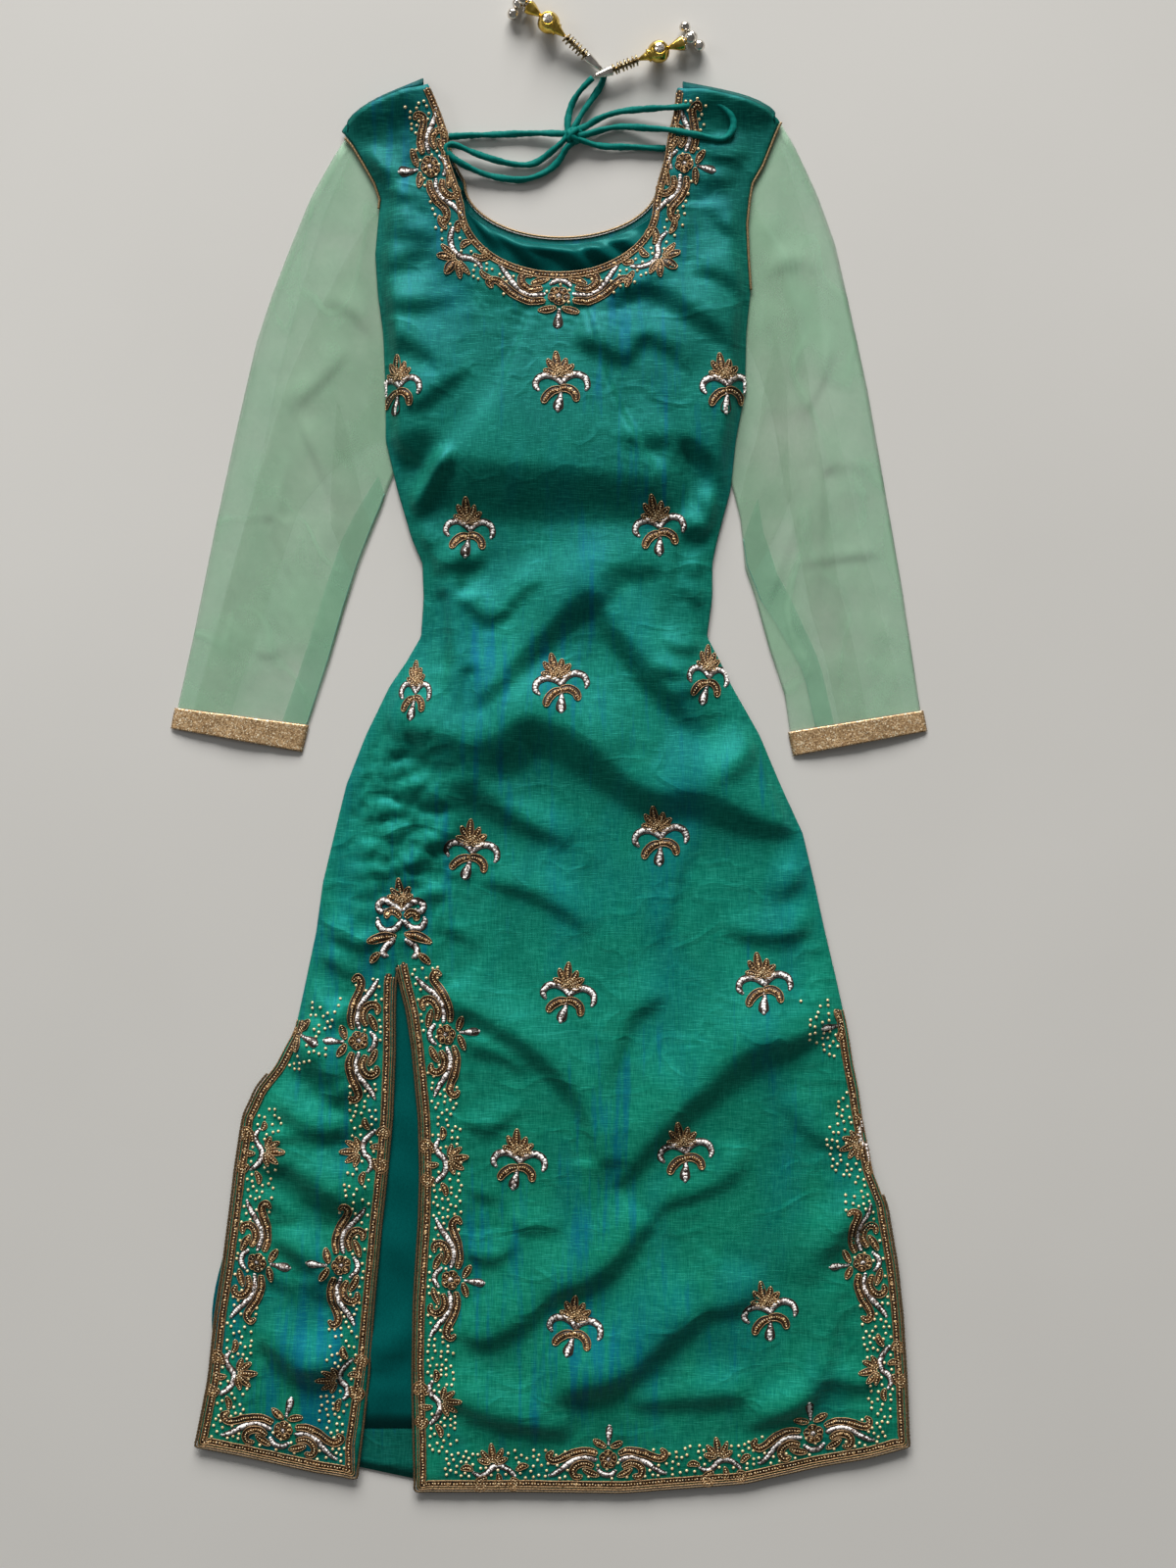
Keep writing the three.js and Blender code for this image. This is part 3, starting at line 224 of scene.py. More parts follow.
    (10, [(56, 1008, 5, 0), (72, 1009, 9, 3), (96, 1007, 10, 3.5), (120, 1004, 13, 5), (140, 1003, 12, 4.5),
          (154, 1008, 7, 0)]),
    (12, [(246, 854, 8, 2), (236, 865, 13, 5), (222, 877, 15, 6.5), (212, 892, 13, 5.5), (206, 906, 9, 3),
          (204, 924, 6, 0)]),
    (10, [(222, 908, 5, 0), (219, 930, 8, 2.6), (215, 956, 9, 3), (209, 980, 11, 4.5), (200, 998, 15, 6.5),
          (184, 1011, 16, 7), (166, 1020, 12, 5), (148, 1029, 7, 0)]),
    (8, [(204, 992, 5, 0), (220, 994, 7, 3), (240, 996, 7, 3), (256, 992, 5, 0)]),
    # the flap left of the slit
    (16, [(-206, 728, 6, 0), (-190, 736, 18, 7), (-174, 748, 22, 9), (-161, 763, 20, 8), (-146, 784, 12, 2)]),
    (12, [(-214, 782, 6, 0), (-200, 787, 12, 5), (-184, 796, 15, 6.5), (-168, 801, 15, 6.5),
          (-148, 800, 9, 2)]),
    (14, [(-226, 830, 6, 0), (-212, 828, 9, 4), (-196, 829, 12, 5), (-180, 838, 20, 8), (-166, 848, 22, 8.5),
          (-152, 858, 16, 5), (-144, 868, 8, 0)]),
    (10, [(-212, 884, 5, 0), (-198, 890, 12, 5), (-184, 898, 15, 6), (-174, 912, 13, 5), (-182, 930, 7, 0)]),
    (14, [(-224, 958, 6, 0), (-212, 964, 12, 5), (-200, 973, 17, 7), (-186, 981, 20, 8.5),
          (-172, 981, 20, 8.5), (-158, 975, 14, 5), (-148, 972, 6, 0)]),
    (8, [(-190, 690, 5, 0), (-182, 701, 9, 3.5), (-170, 712, 10, 4), (-158, 716, 9, 3.5), (-148, 706, 6, 0)]),
    (6, [(-218, 800, 4, 0), (-206, 808, 7, 2.4), (-194, 806, 8, 2.6), (-184, 816, 6, 1), (-176, 818, 4, 0)]),
    (6, [(-224, 852, 4, 0), (-212, 858, 7, 2.4), (-200, 866, 8, 2.6), (-190, 864, 5, 0)]),
    (6, [(-222, 902, 4, 0), (-212, 910, 7, 2.2), (-202, 918, 8, 2.6), (-194, 930, 6, 1), (-190, 940, 4, 0)]),
    (6, [(-180, 930, 4, 0), (-170, 926, 7, 2.4), (-160, 934, 7, 2.4), (-152, 946, 4, 0)]),
    (5, [(-176, 770, 4, 0), (-168, 778, 6, 2), (-158, 776, 6, 2), (-150, 770, 4, 0)]),
    (6, [(-150, 700, 4, 0), (-158, 724, 6, 2), (-156, 744, 6, 2), (-148, 760, 4, 0)]),
    (5, [(-196, 712, 4, 0), (-188, 722, 6, 2.2), (-178, 724, 6, 2), (-168, 732, 4, 0)]),
    (6, [(-232, 880, 4, 0), (-226, 896, 6, 2), (-216, 900, 6, 2), (-208, 896, 4, 0)]),
    (7, [(-176, 648, 5, 0), (-164, 650, 8, 3), (-152, 657, 9, 3.5), (-140, 661, 8, 3), (-128, 656, 5, 0)]),
    (7, [(-182, 668, 5, 0), (-168, 672, 7, 2.5), (-154, 680, 8, 3), (-142, 680, 6, 0)]),
    (6, [(-128, 516, 4, 0), (-116, 512, 6, 2.2), (-104, 516, 6, 2.2), (-94, 524, 5, 0)]),
    (6, [(-136, 540, 4, 0), (-124, 534, 6, 2.2), (-112, 534, 5, 0)]),
    (6, [(-132, 566, 4, 0), (-118, 560, 6, 2.4), (-106, 562, 6, 2.4), (-96, 556, 5, 0)]),
    (6, [(-128, 588, 4, 0), (-116, 582, 6, 2.2), (-104, 584, 5, 0)]),
    (6, [(-150, 616, 4, 0), (-136, 610, 6, 2), (-118, 606, 6, 2), (-102, 610, 5, 0)]),
    (6, [(-108, 628, 4, 0), (-96, 622, 6, 2.2), (-82, 624, 6, 2.2), (-72, 632, 5, 0)]),
    (8, [(-92, 650, 4, 0), (-80, 648, 6, 2), (-66, 654, 6, 2), (-54, 664, 5, 0)]),
    # the waist darts, pinched lines with the blue of the weft beside them
    (9, [(-60, 282, 5, 0), (-64, 330, 6, 1.5), (-72, 380, 9, 4), (-72, 420, 10, 5), (-69, 452, 10, 4.5),
         (-72, 486, 7, 0)]),
    (7, [(98, 300, 5, 0), (96, 340, 6, 1.4), (92, 380, 7, 2), (90, 410, 5, 0)]),
    (8, [(-126, 232, 5, 0), (-122, 246, 7, 2), (-112, 262, 6, 0)]),
    (6, [(137, 268, 5, 1), (139, 276, 8, 3), (142, 288, 7, 2), (140, 298, 5, 0)]),
    (5, [(-156, 36, 12, 1), (-150, 31, 18, 4), (-140, 25, 25, 6.5), (-125, 18.3, 28, 7.6),
         (-110, 12.6, 28, 7.4), (-98, 8, 24, 5)]),
    (5, [(174, 29, 10, 1), (168, 25.4, 16, 3.5), (150, 19, 22, 6.5), (130, 15, 24, 7), (110, 11.6, 22, 6.5),
         (104, 9, 16, 3)]),
    (8, [(-142, 64, 5, 0), (-133, 68, 9, 2.2), (-124, 72, 11, 2.8), (-114, 74, 9, 1.6), (-106, 74, 5, 0)]),
    (6, [(-146, 62, 5, 0), (-138, 66, 10, 4), (-130, 78, 12, 4), (-126, 96, 6, 0)]),
    (8, [(-124, 92, 5, 0), (-112, 90, 9, 3), (-100, 96, 9, 3), (-90, 104, 5, 0)]),
    (8, [(112, 54, 5, 0), (124, 58, 9, 3), (140, 60, 9, 3), (154, 56, 6, 0)]),
    (8, [(118, 96, 5, 0), (128, 106, 7, 2.4), (142, 118, 8, 2.6), (152, 122, 5, 0)]),
    (8, [(104, 70, 5, 0), (116, 78, 7, 1.8), (132, 80, 7, 1.8), (146, 76, 5, 0)]),
]


def running_length(points):
    return np.concatenate([[0], np.cumsum(np.linalg.norm(np.diff(points, axis=0), axis=1))])


def smooth_path(points, step, closed=False, parts=16, measured=None):
    """A smooth line through points, in even steps over its first `measured` columns; the rest come along."""
    p = np.asarray(points, float)
    p = np.vstack([p[-1], p, p[0], p[1]] if closed else [2 * p[0] - p[1], p, 2 * p[-1] - p[-2]])
    t = np.linspace(0, 1, parts, endpoint=False)[:, None]
    out = [0.5 * (2 * p1 + (p2 - p0) * t + (2 * p0 - 5 * p1 + 4 * p2 - p3) * t ** 2
                  + (3 * p1 - p0 - 3 * p2 + p3) * t ** 3)
           for p0, p1, p2, p3 in zip(p[:-3], p[1:-2], p[2:-1], p[3:])]
    line = np.vstack(out + [out[0][:1] if closed else p[-2][None]])
    length = running_length(line[:, :measured])
    at = np.linspace(0, length[-1], max(int(round(length[-1] / step)), 2) + 1)
    at = at[:-1] if closed else at
    return np.stack([np.interp(at, length, line[:, k]) for k in range(line.shape[1])], axis=1)


GENTLE, FULLNESS = 1.5, 1.4  # how much wider and higher each fold is made than its row says


def fold_height(fold, x, down):
    """The height that one fold adds: a long gentle side above its crest and a short steep one below."""
    rise, crest = GENTLE * fold[0], smooth_path(fold[1], 3.0, parts=12, measured=2) * (1, 1, 1, FULLNESS)
    reach = max(2.2 * rise, crest[:, 2].max() * 1.2)
    low, high = crest[:, :2].min(0) - reach, crest[:, :2].max(0) + reach
    near = (x > low[0]) & (x < high[0]) & (down > low[1]) & (down < high[1])
    out = np.zeros_like(x)
    if not near.any():
        return out
    px, py = x[near][:, None], down[near][:, None]
    a, d = crest[:-1], np.diff(crest, axis=0)
    t = np.clip(((px - a[:, 0]) * d[:, 0] + (py - a[:, 1]) * d[:, 1]) / (d[:, :2] ** 2).sum(1), 0, 1)
    fx, fy = px - a[:, 0] - t * d[:, 0], py - a[:, 1] - t * d[:, 1]
    far = np.hypot(fx, fy)
    best = far.argmin(1)
    row = np.arange(len(best))
    t, far = t[row, best], far[row, best]
    fall, height = (a[best, k] + t * d[best, k] for k in (2, 3))
    # which side of the crest: the steep one is the one further down the garment
    sign = np.sign(d[best, 0]) * (d[best, 0] * fy[row, best] - d[best, 1] * fx[row, best])
    below = np.where(np.abs(d[best, 0]) > 1e-6, sign, fy[row, best]) > 0
    u = far / np.maximum(fall, 1.0)
    steep = 1 - np.clip(0.5 * u + 0.5 * smooth(u, 0, 1), 0, 1)
    steep = np.where(u < 1, steep, 0)
    out[near] = np.maximum(height, 0) * np.where(below, steep, np.exp(-((far / rise) ** 2)))
    return out


def free_edge_distance(x, down):
    c = FRONT_CURVE
    strap = np.maximum(read(FRONT_STRAPS, 1, down) - x, x - read(FRONT_STRAPS, 2, down))
    curve = (np.hypot((x - c["middle"]) / c["half_width"], (down - NECK_CORNER) / c["drop"]) - 1) * c["drop"]
    neck = np.where(down < NECK_CORNER, strap, curve)
    slit = np.where(down < SLIT_TOP, np.hypot(x + 116, down - SLIT_TOP),
                    np.maximum(read(SLIT, 1, down) - x, x - read(SLIT, 2, down)))
    return np.maximum(0, np.minimum(np.minimum(neck, slit), hem_at(x) - down))


def ripple(x, y, wave, seed):
    """Smooth unhurried noise from a few crossing waves, the same on every run."""
    rng = np.random.default_rng(seed)
    total = np.zeros_like(x)
    for _ in range(6):
        angle, phase, stretch = rng.uniform(0, 2 * np.pi), rng.uniform(0, 2 * np.pi), rng.uniform(0.7, 1.5)
        total += np.sin((x * np.cos(angle) + y * np.sin(angle)) * 2 * np.pi / (wave * stretch) + phase)
    return total / 6


# The folds are worked out once, on a fine grid, and read from it everywhere else.
FIELD_LOW, FIELD_STEP, FIELD_SIZE = np.array([-290.0, -10.0]), 2.0, (292, 552)
field_x, field_down = np.meshgrid(FIELD_LOW[0] + FIELD_STEP * np.arange(FIELD_SIZE[0]),
                                  FIELD_LOW[1] + FIELD_STEP * np.arange(FIELD_SIZE[1]), indexing="ij")
FIELD = sum(fold_height(f, field_x.ravel(), field_down.ravel()) for f in FOLDS).reshape(FIELD_SIZE)
# thick silk rounds its crests
FIELD[1:-1] = 0.25 * FIELD[:-2] + 0.5 * FIELD[1:-1] + 0.25 * FIELD[2:]
FIELD[:, 1:-1] = 0.25 * FIELD[:, :-2] + 0.5 * FIELD[:, 1:-1] + 0.25 * FIELD[:, 2:]
print("folds:", len(FOLDS), "highest, mm:", round(float(FIELD.max()), 1))


def folds_at(x, down):
    gx = np.clip((x - FIELD_LOW[0]) / FIELD_STEP, 0, FIELD_SIZE[0] - 1.001)
    gy = np.clip((down - FIELD_LOW[1]) / FIELD_STEP, 0, FIELD_SIZE[1] - 1.001)
    i, j = gx.astype(int), gy.astype(int)
    u, v = gx - i, gy - j
    return ((FIELD[i, j] * (1 - u) + FIELD[i + 1, j] * u) * (1 - v)
            + (FIELD[i, j + 1] * (1 - u) + FIELD[i + 1, j + 1] * u) * v)


def front_height(x, down):
    """The front's height without its rolled sides."""
    x, down = np.asarray(x, float), np.asarray(down, float)
    left, right = side_edges(down)
    side = np.minimum(x - left, right - x)
    edge = free_edge_distance(x, down)
    crumple = 0.5 * ripple(x, down, 46, 3) + 0.3 * ripple(x, down, 23, 4)
    near_work = 1 - smooth(np.minimum(edge, np.where(down > 640, side, 99)), 30, 75)
    pucker = near_work * (0.9 * ripple(x, down * 1.5, 17, 7) + 0.5 * ripple(x, down * 1.4, 9, 8))
    hip = np.exp(-(((x + 112) / 42) ** 2) - ((down - 575) / 70) ** 2)
    pucker = pucker + hip * (8.0 * np.abs(ripple(x, down * 1.6, 44, 15))
                             - 5.0 * np.abs(ripple(x * 1.2, down * 1.3, 24, 16)))
    held = smooth(side, 1, 14) * (0.35 + 0.65 * smooth(edge, 0, 26))
    lift = 5.2 * (1 - smooth(edge, 0, 40)) * (1 - smooth(down, 150, 200)) * smooth(side, 0, 25)
    return (FRONT_Z + lift + 2.6 * smooth(side, 4, 30) * smooth(edge, 0, 25)
            + (folds_at(x, down) + crumple + pucker) * held)


ROLL_WIDTH, SEAM_Z = 6.0, 0.9


def front_z(x, down):
    """The front's mid-surface, rolled down to the floor where a side is sewn to the back."""
    x, down = np.asarray(x, float), np.asarray(down, float)
    left, right = side_edges(down)
    height = front_height(x, down)
    for edge, sign, name in ((left, 1, "left"), (right, -1, "right")):
        inward = np.clip((x - edge) * sign / ROLL_WIDTH, 0, 1)
        roll = np.sqrt(1 - (1 - inward) ** 2)
        free = smooth(down, SEWN_TO[name] - 14, SEWN_TO[name] + 6)
        height = np.where(inward < 1, lerp(SEAM_Z + (height - SEAM_Z) * roll, height, free), height)
    return height


print("highest fold, mm:", round(float(front_z(np.array([11.0]), np.array([300.0]))[0]), 1))

# %% [markdown]
# ## Panels as grids
# A body panel is one grid of squares that follows the straps, the curve of the neck, the slit and the hem, as
# the weave of the real cloth does. Squares inside the neck are left out, and the grid's column under the
# slit's top is doubled so that the two flaps part.

# %% Panel grid
NARROW = np.array([0, 0.9, 2.2, 4.4])


def strap_columns(edge, guide, count, half_wall=0.4):
    """Places across a side part of a panel, crowded where the seam rolls at its edge."""
    inward = np.sign(guide - edge)
    start = edge + inward * (half_wall + NARROW)
    rest = np.linspace(start[-1], guide, count - len(NARROW) + 2)[1:]
    return np.concatenate([start, rest])


def panel_grid(side_columns, neck_columns, strap_rows, body_rows, skirt_rows, corner, curve, straps,
               shoulder_drop, sides, hem, slit=False, crowding=1.0):
    sc, ne = side_columns, side_columns + neck_columns
    columns, slit_row = ne + sc, strap_rows + body_rows
    rows = slit_row + skirt_rows
    turn = np.linspace(-np.pi / 2, np.pi / 2, neck_columns + 1)
    xs, downs = [], []
    number = -np.ones((rows + 1, columns + 1, 2), int)

    def keep(i, js, x, down, which=(0, 1)):
        for j, px, pd in zip(js, x, down):
            number[i, j, list(which)] = len(xs)
            xs.append(float(px))
            downs.append(float(pd))

    def share(name_column, level):
        edges = sides(level)
        return (float(read(straps, name_column, corner)) - edges[0]) / (edges[1] - edges[0])

    top_left, top_right = sides(SLIT_TOP)
    slit_share = (-116 - top_left) / (top_right - top_left)
    for i in range(rows + 1):
        if i <= strap_rows:
            s = i / strap_rows
            for side, name in ((0, "left"), (1, "right")):
                tip, neck = SHOULDERS[name]
                edge = float(sides(lerp(tip[1] + shoulder_drop, corner, s))[side])
                inner = float(read(straps, side + 1, lerp(neck[1] + shoulder_drop, corner, s)))
                x = strap_columns(edge, inner, sc)
                over = lerp(tip[0], neck[0], (x - edge) / (inner - edge))
                down = lerp(shoulder_at(name, over) + shoulder_drop, corner, s)
                js = range(0, sc + 1) if side == 0 else range(columns, ne - 1, -1)
                keep(i, js, x, down)
            if i < strap_rows:
                continue
        level = (lerp(corner, SLIT_TOP, ((i - strap_rows) / body_rows) ** crowding) if i <= slit_row
                 else lerp(SLIT_TOP, HEM_LEVEL, (i - slit_row) / skirt_rows))
        left, right = (float(e) for e in sides(level))
        width = right - left
        guide = left + width * lerp(share(1, corner), slit_share, smooth(level, corner, SLIT_TOP))
        far_guide = left + width * share(2, corner)
        fade = 1 - smooth(level, corner, 2.2 * corner)
        starts = [guide] if i <= slit_row else [float(read(SLIT, 1, level)), float(read(SLIT, 2, level))]
        if not slit:
            starts = starts[:1]
        even = np.linspace(0, 1, neck_columns + 1)
        middle = lerp(starts[-1], far_guide, lerp(even, (1 + np.sin(turn)) / 2, fade))
        dip = curve["drop"] * np.cos(turn) * fade
        dip[[0, -1]] = 0
        x_left, x_right = strap_columns(left, starts[0], sc), strap_columns(right, far_guide, sc)[::-1]
        reach = smooth(level, 0.88 * HEM_LEVEL, HEM_LEVEL)
        drop = lambda x: (hem(x) - HEM_LEVEL) * reach
        if i > strap_rows:
            keep(i, range(0, sc + 1), x_left, level + drop(x_left), (0,) if len(starts) > 1 else (0, 1))
            if len(starts) > 1:
                keep(i, [sc], [starts[1]], [level + float(drop(starts[1]))], (1,))
                number[i, :sc, 1] = number[i, :sc, 0]
            keep(i, range(ne, columns + 1), x_right, level + drop(x_right))
        keep(i, range(sc + 1, ne), middle[1:-1], level + dip[1:-1] + drop(middle[1:-1]))
    quads = []
    for i in range(rows):
        for j in range(columns):
            if i < strap_rows and sc <= j < ne:
                continue
            k = 1 if j >= sc else 0
            quads.append((number[i, j, k], number[i + 1, j, k], number[i + 1, j + 1, k], number[i, j + 1, k]))
    return dict(x=np.array(xs), down=np.array(downs), quads=quads, number=number, columns=columns, rows=rows,
                sc=sc, ne=ne, strap_rows=strap_rows, slit_row=slit_row)


# %% Making pieces
def lay(name, mesh, material, slot, *nodes, wall=0.0, flat_faces=False):
    """Makes one piece from its points and faces, and puts it in place of the solids that it stands for."""
    points, faces = mesh
    data = bpy.data.meshes.new(name)
    data.from_pydata(np.asarray(points, float).tolist(), [], [tuple(int(v) for v in f) for f in faces])
    data.update()
    if not flat_faces:
        data.shade_smooth()
    data.materials.append(material)
    made = bpy.data.objects.new(name, data)
    bpy.context.scene.collection.objects.link(made)
    if wall:
        solid = made.modifiers.new("wall", "SOLIDIFY")
        solid.thickness, solid.offset, solid.use_rim = wall, 0.0, True
    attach(made, "root")
    if nodes:
        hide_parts(*nodes)
    print(f"{made.name}: {len(data.polygons)} faces")
    return made


def grid_faces(rows, columns):
    """The squares of a grid of points, rows by columns."""
    return [(a * columns + b, (a + 1) * columns + b, (a + 1) * columns + b + 1, a * columns + b + 1)
            for a in range(rows - 1) for b in range(columns - 1)]


def unit(vectors, least=1e-9):
    """Vectors, one a row, made one long."""
    return vectors / (np.linalg.norm(vectors, axis=1)[:, None] + least)


def frames_along(points):
    """Side and up vectors along a line of points, without twist."""
    tangent = unit(np.gradient(points, axis=0), 1e-12)
    up = np.zeros_like(points)
    seed = np.array([1.0, 0, 0]) if abs(tangent[0, 2]) > 0.9 else np.array([0, 0, 1.0])
    for i, t in enumerate(tangent):
        seed = seed - t * (seed @ t)
        seed /= np.linalg.norm(seed)
        up[i] = seed
    return np.cross(up, tangent), up


def tube_mesh(points, radius, sides=8, closed=False, lobes=0.0, twist=0.0, flat=1.0):
    """Points and faces of a tube. radius may vary along it; lobes and twist give a plied cord."""
    points = np.asarray(points, float)
    n = len(points)
    side, up = frames_along(points)
    if closed:
        step = unit(np.roll(points, -1, axis=0) - np.roll(points, 1, axis=0), 1e-12)
        side = unit(np.cross(up, step), 1e-12)
    radius = np.broadcast_to(np.asarray(radius, float), (n,))
    angle = np.linspace(0, 2 * np.pi, sides, endpoint=False)[None, :]
    bulge = 1 + lobes * np.cos(2 * (angle - running_length(points)[:, None] * twist))
    r = radius[:, None] * bulge
    ring = (points[:, None, :] + side[:, None, :] * (r * np.cos(angle))[..., None]
            + up[:, None, :] * (r * np.sin(angle) * flat)[..., None])
    starts = [(i * sides, ((i + 1) % n) * sides) for i in range(n if closed else n - 1)]
    faces = [(a + k, a + (k + 1) % sides, b + (k + 1) % sides, b + k) for a, b in starts
             for k in range(sides)]
    if not closed:
        faces += [tuple(range(sides))[::-1], tuple((n - 1) * sides + k for k in range(sides))]
    return ring.reshape(-1, 3), faces


def join_meshes(parts):
    verts, faces, base = [], [], 0
    for v, f in parts:
        verts.append(v)
        faces.extend(tuple(base + k for k in face) for face in f)
        base += len(v)
    return np.concatenate(verts), faces

# %% [markdown]
# ## Finishes
# Shot silk is woven with a green warp and a blue weft, so it shows both: fine crossing threads, thicker
# slubs, and broad streaks where the blue comes through. The weave is a node group, because the silk, the
# satin, the organza and the cords all have one at their own scale. Everything is procedural and measured in
# metres on the cloth.

# %% Node helpers
def node(tree, kind, inputs=None, **settings):
    """A shader node. Each input is a plain value, or another node's output that is linked to it."""
    made = tree.nodes.new("ShaderNode" + kind)
    for key, value in settings.items():
        setattr(made, key, value)
    for key, value in (inputs or {}).items():
        if isinstance(value, bpy.types.NodeSocket):
            tree.links.new(value, made.inputs[key])
        else:
            made.inputs[key].default_value = value
    return made


def calc(tree, operation, *values):
    return node(tree, "Math", dict(enumerate(values)), operation=operation).outputs[0]


def spread(tree, value, low, high, to_low=0.0, to_high=1.0):
    """Stretches the range from low to high of a value, and cuts it off at both ends."""
    return node(tree, "MapRange", {"Value": value, "From Min": low, "From Max": high,
                                   "To Min": to_low, "To Max": to_high}).outputs[0]


def ramp(tree, factor, stops):
    """A colour ramp from (place, colour) pairs, where a single number stands for a grey."""
    made = node(tree, "ValToRGB", {"Fac": factor})
    elements = made.color_ramp.elements
    while len(elements) < len(stops):
        elements.new(0.5)
    for element, (at, colour) in zip(elements, stops):
        element.position, element.color = at, (*(colour if isinstance(colour, tuple) else (colour,) * 3), 1)
    return made.outputs["Color"]


def mix_colours(tree, factor, a, b, mode="MIX"):
    a, b = ((*value, 1) if isinstance(value, tuple) else value for value in (a, b))
    return node(tree, "Mix", {"Factor": factor, 6: a, 7: b}, data_type="RGBA", blend_type=mode).outputs[2]


def bump(tree, shader, height, strength, distance, below=None):
    """Relief on a shader, laid over the relief below it."""
    inputs = {"Strength": strength, "Distance": distance, "Height": height}
    made = node(tree, "Bump", inputs if below is None else {**inputs, "Normal": below})
    tree.links.new(made.outputs["Normal"], shader.inputs["Normal"])
    return made.outputs["Normal"]


def new_material(name, **values):
    """A material, its tree and its shader. Plain values are named as on the shader, with _ for a space."""
    material = bpy.data.materials.new(name)
    material.use_nodes = True
    shader = material.node_tree.nodes["Principled BSDF"]
    for key, value in values.items():
        shader.inputs[key.replace("_", " ")].default_value = value
    return material, material.node_tree, shader


def paint(tree, shader, **sockets):
    for key, socket in sockets.items():
        tree.links.new(socket, shader.inputs[key.replace("_", " ")])


def object_place(tree):
    return node(tree, "TexCoord").outputs["Object"]


def new_group(name, inputs, outputs):
    """An empty node group with named inputs and outputs. A default of three numbers makes a vector input."""
    group = bpy.data.node_groups.new(name, "ShaderNodeTree")
    for key, value in inputs.items():
        kind = "NodeSocketVector" if isinstance(value, tuple) else "NodeSocketFloat"
        group.interface.new_socket(key, in_out="INPUT", socket_type=kind).default_value = value
    for key in outputs:
        group.interface.new_socket(key, in_out="OUTPUT", socket_type="NodeSocketFloat")
    start, end = group.nodes.new("NodeGroupInput"), group.nodes.new("NodeGroupOutput")
    return group, start.outputs, end.inputs


def use_group(tree, group, **values):
    return node(tree, "Group", values, node_tree=group).outputs


# %% Weave, noise, crease and cell groups
def build_weave():
    """Crossing threads: long thin streaks one way and the other, as colour and as height."""
    group, start, end = new_group("woven_threads", {"Across": 1500.0, "Along": 60.0, "Balance": 0.5},
                                  ("Threads", "Slubs"))
    ways = []
    for first, second, seed in (("Along", "Across", 0.0), ("Across", "Along", 7.3)):
        size = node(group, "CombineXYZ", {0: start[first], 1: start[second], 2: 40.0}).outputs[0]
        scaled = node(group, "VectorMath", {0: object_place(group), 1: size}, operation="MULTIPLY").outputs[0]
        moved = node(group, "VectorMath", {0: scaled, 1: (seed,) * 3}, operation="ADD").outputs[0]
        ways.append(node(group, "TexNoise", {"Vector": moved, "Scale": 1.0, "Detail": 3.0,
                                             "Roughness": 0.6}).outputs["Fac"])
    both = node(group, "Mix", {"Factor": start["Balance"], 2: ways[0], 3: ways[1]}, data_type="FLOAT")
    group.links.new(both.outputs[0], end["Threads"])
    group.links.new(spread(group, ways[0], 0.56, 0.74), end["Slubs"])
    return group


def build_noise():
    """Soft noise in metres on the object, stretched and shifted."""
    group, start, end = new_group("soft_noise", {"Scale": 10.0, "Detail": 2.0, "Seed": 0.0,
                                                 "Stretch": (1, 1, 1)}, ("Value",))
    place = node(group, "Mapping", {"Vector": object_place(group), "Scale": start["Stretch"],
                                    "Location": start["Seed"]}).outputs["Vector"]
    noise = node(group, "TexNoise", {"Vector": place, "Scale": start["Scale"], "Detail": start["Detail"]})
    group.links.new(noise.outputs["Fac"], end["Value"])
    return group


def build_creases():
    """Thin wandering lines, as in cloth that has been folded: the places where a soft noise is even."""
    group, start, end = new_group("fold_marks", {"Scale": 10.0, "Width": 0.02, "Seed": 0.0,
                                                 "Stretch": (1, 1, 1)}, ("Lines",))
    values = [use_group(group, NOISE, Scale=start["Scale"], Stretch=start["Stretch"],
                        Seed=calc(group, "ADD", start["Seed"], extra))["Value"] for extra in (0.0, 11.0)]
    size = calc(group, "ABSOLUTE", calc(group, "SUBTRACT", values[0], 0.5))
    line, fade = spread(group, size, 0.0, start["Width"], 1.0, 0.0), spread(group, values[1], 0.42, 0.6)
    group.links.new(calc(group, "MULTIPLY", line, fade), end["Lines"])
    return group


def build_cells():
    """Small cells with three random values each, for things that each lean their own way."""
    names = ("First", "Second", "Third")
    group, start, end = new_group("small_cells", {"Scale": 600.0}, names)
    cells = node(group, "TexVoronoi", {"Vector": object_place(group), "Scale": start["Scale"]})
    parts = node(group, "SeparateColor", {0: cells.outputs["Color"]})
    for k, name in enumerate(names):
        group.links.new(parts.outputs[k], end[name])
    return group


WEAVE, NOISE = build_weave(), build_noise()
CREASES, CELLS = build_creases(), build_cells()


def object_noise(tree, scale, detail=2.0, stretch=(1, 1, 1), seed=0.0):
    return use_group(tree, NOISE, Scale=scale, Detail=detail, Stretch=stretch, Seed=seed)["Value"]


# %% Shot silk
TEAL_SHINE = (0.2, 0.95, 0.9, 1)
# Painted shade: the silk's colour is darker towards the neck and shoulders, and a little lighter and warmer
# towards the hem.
PAINTED_SHADE_DOWN_THE_LENGTH = [(0.0, (0.6, 0.6, 0.64)), (0.3, (0.84, 0.83, 0.85)), (0.46, (0.9, 0.9, 0.9)),
                   (0.6, (0.94, 0.94, 0.93)), (0.72, (1.14, 1.13, 1.12)), (1.0, (1.12, 1.04, 0.92))]
TOP_Y, LOW_Y = 0.45, -0.3


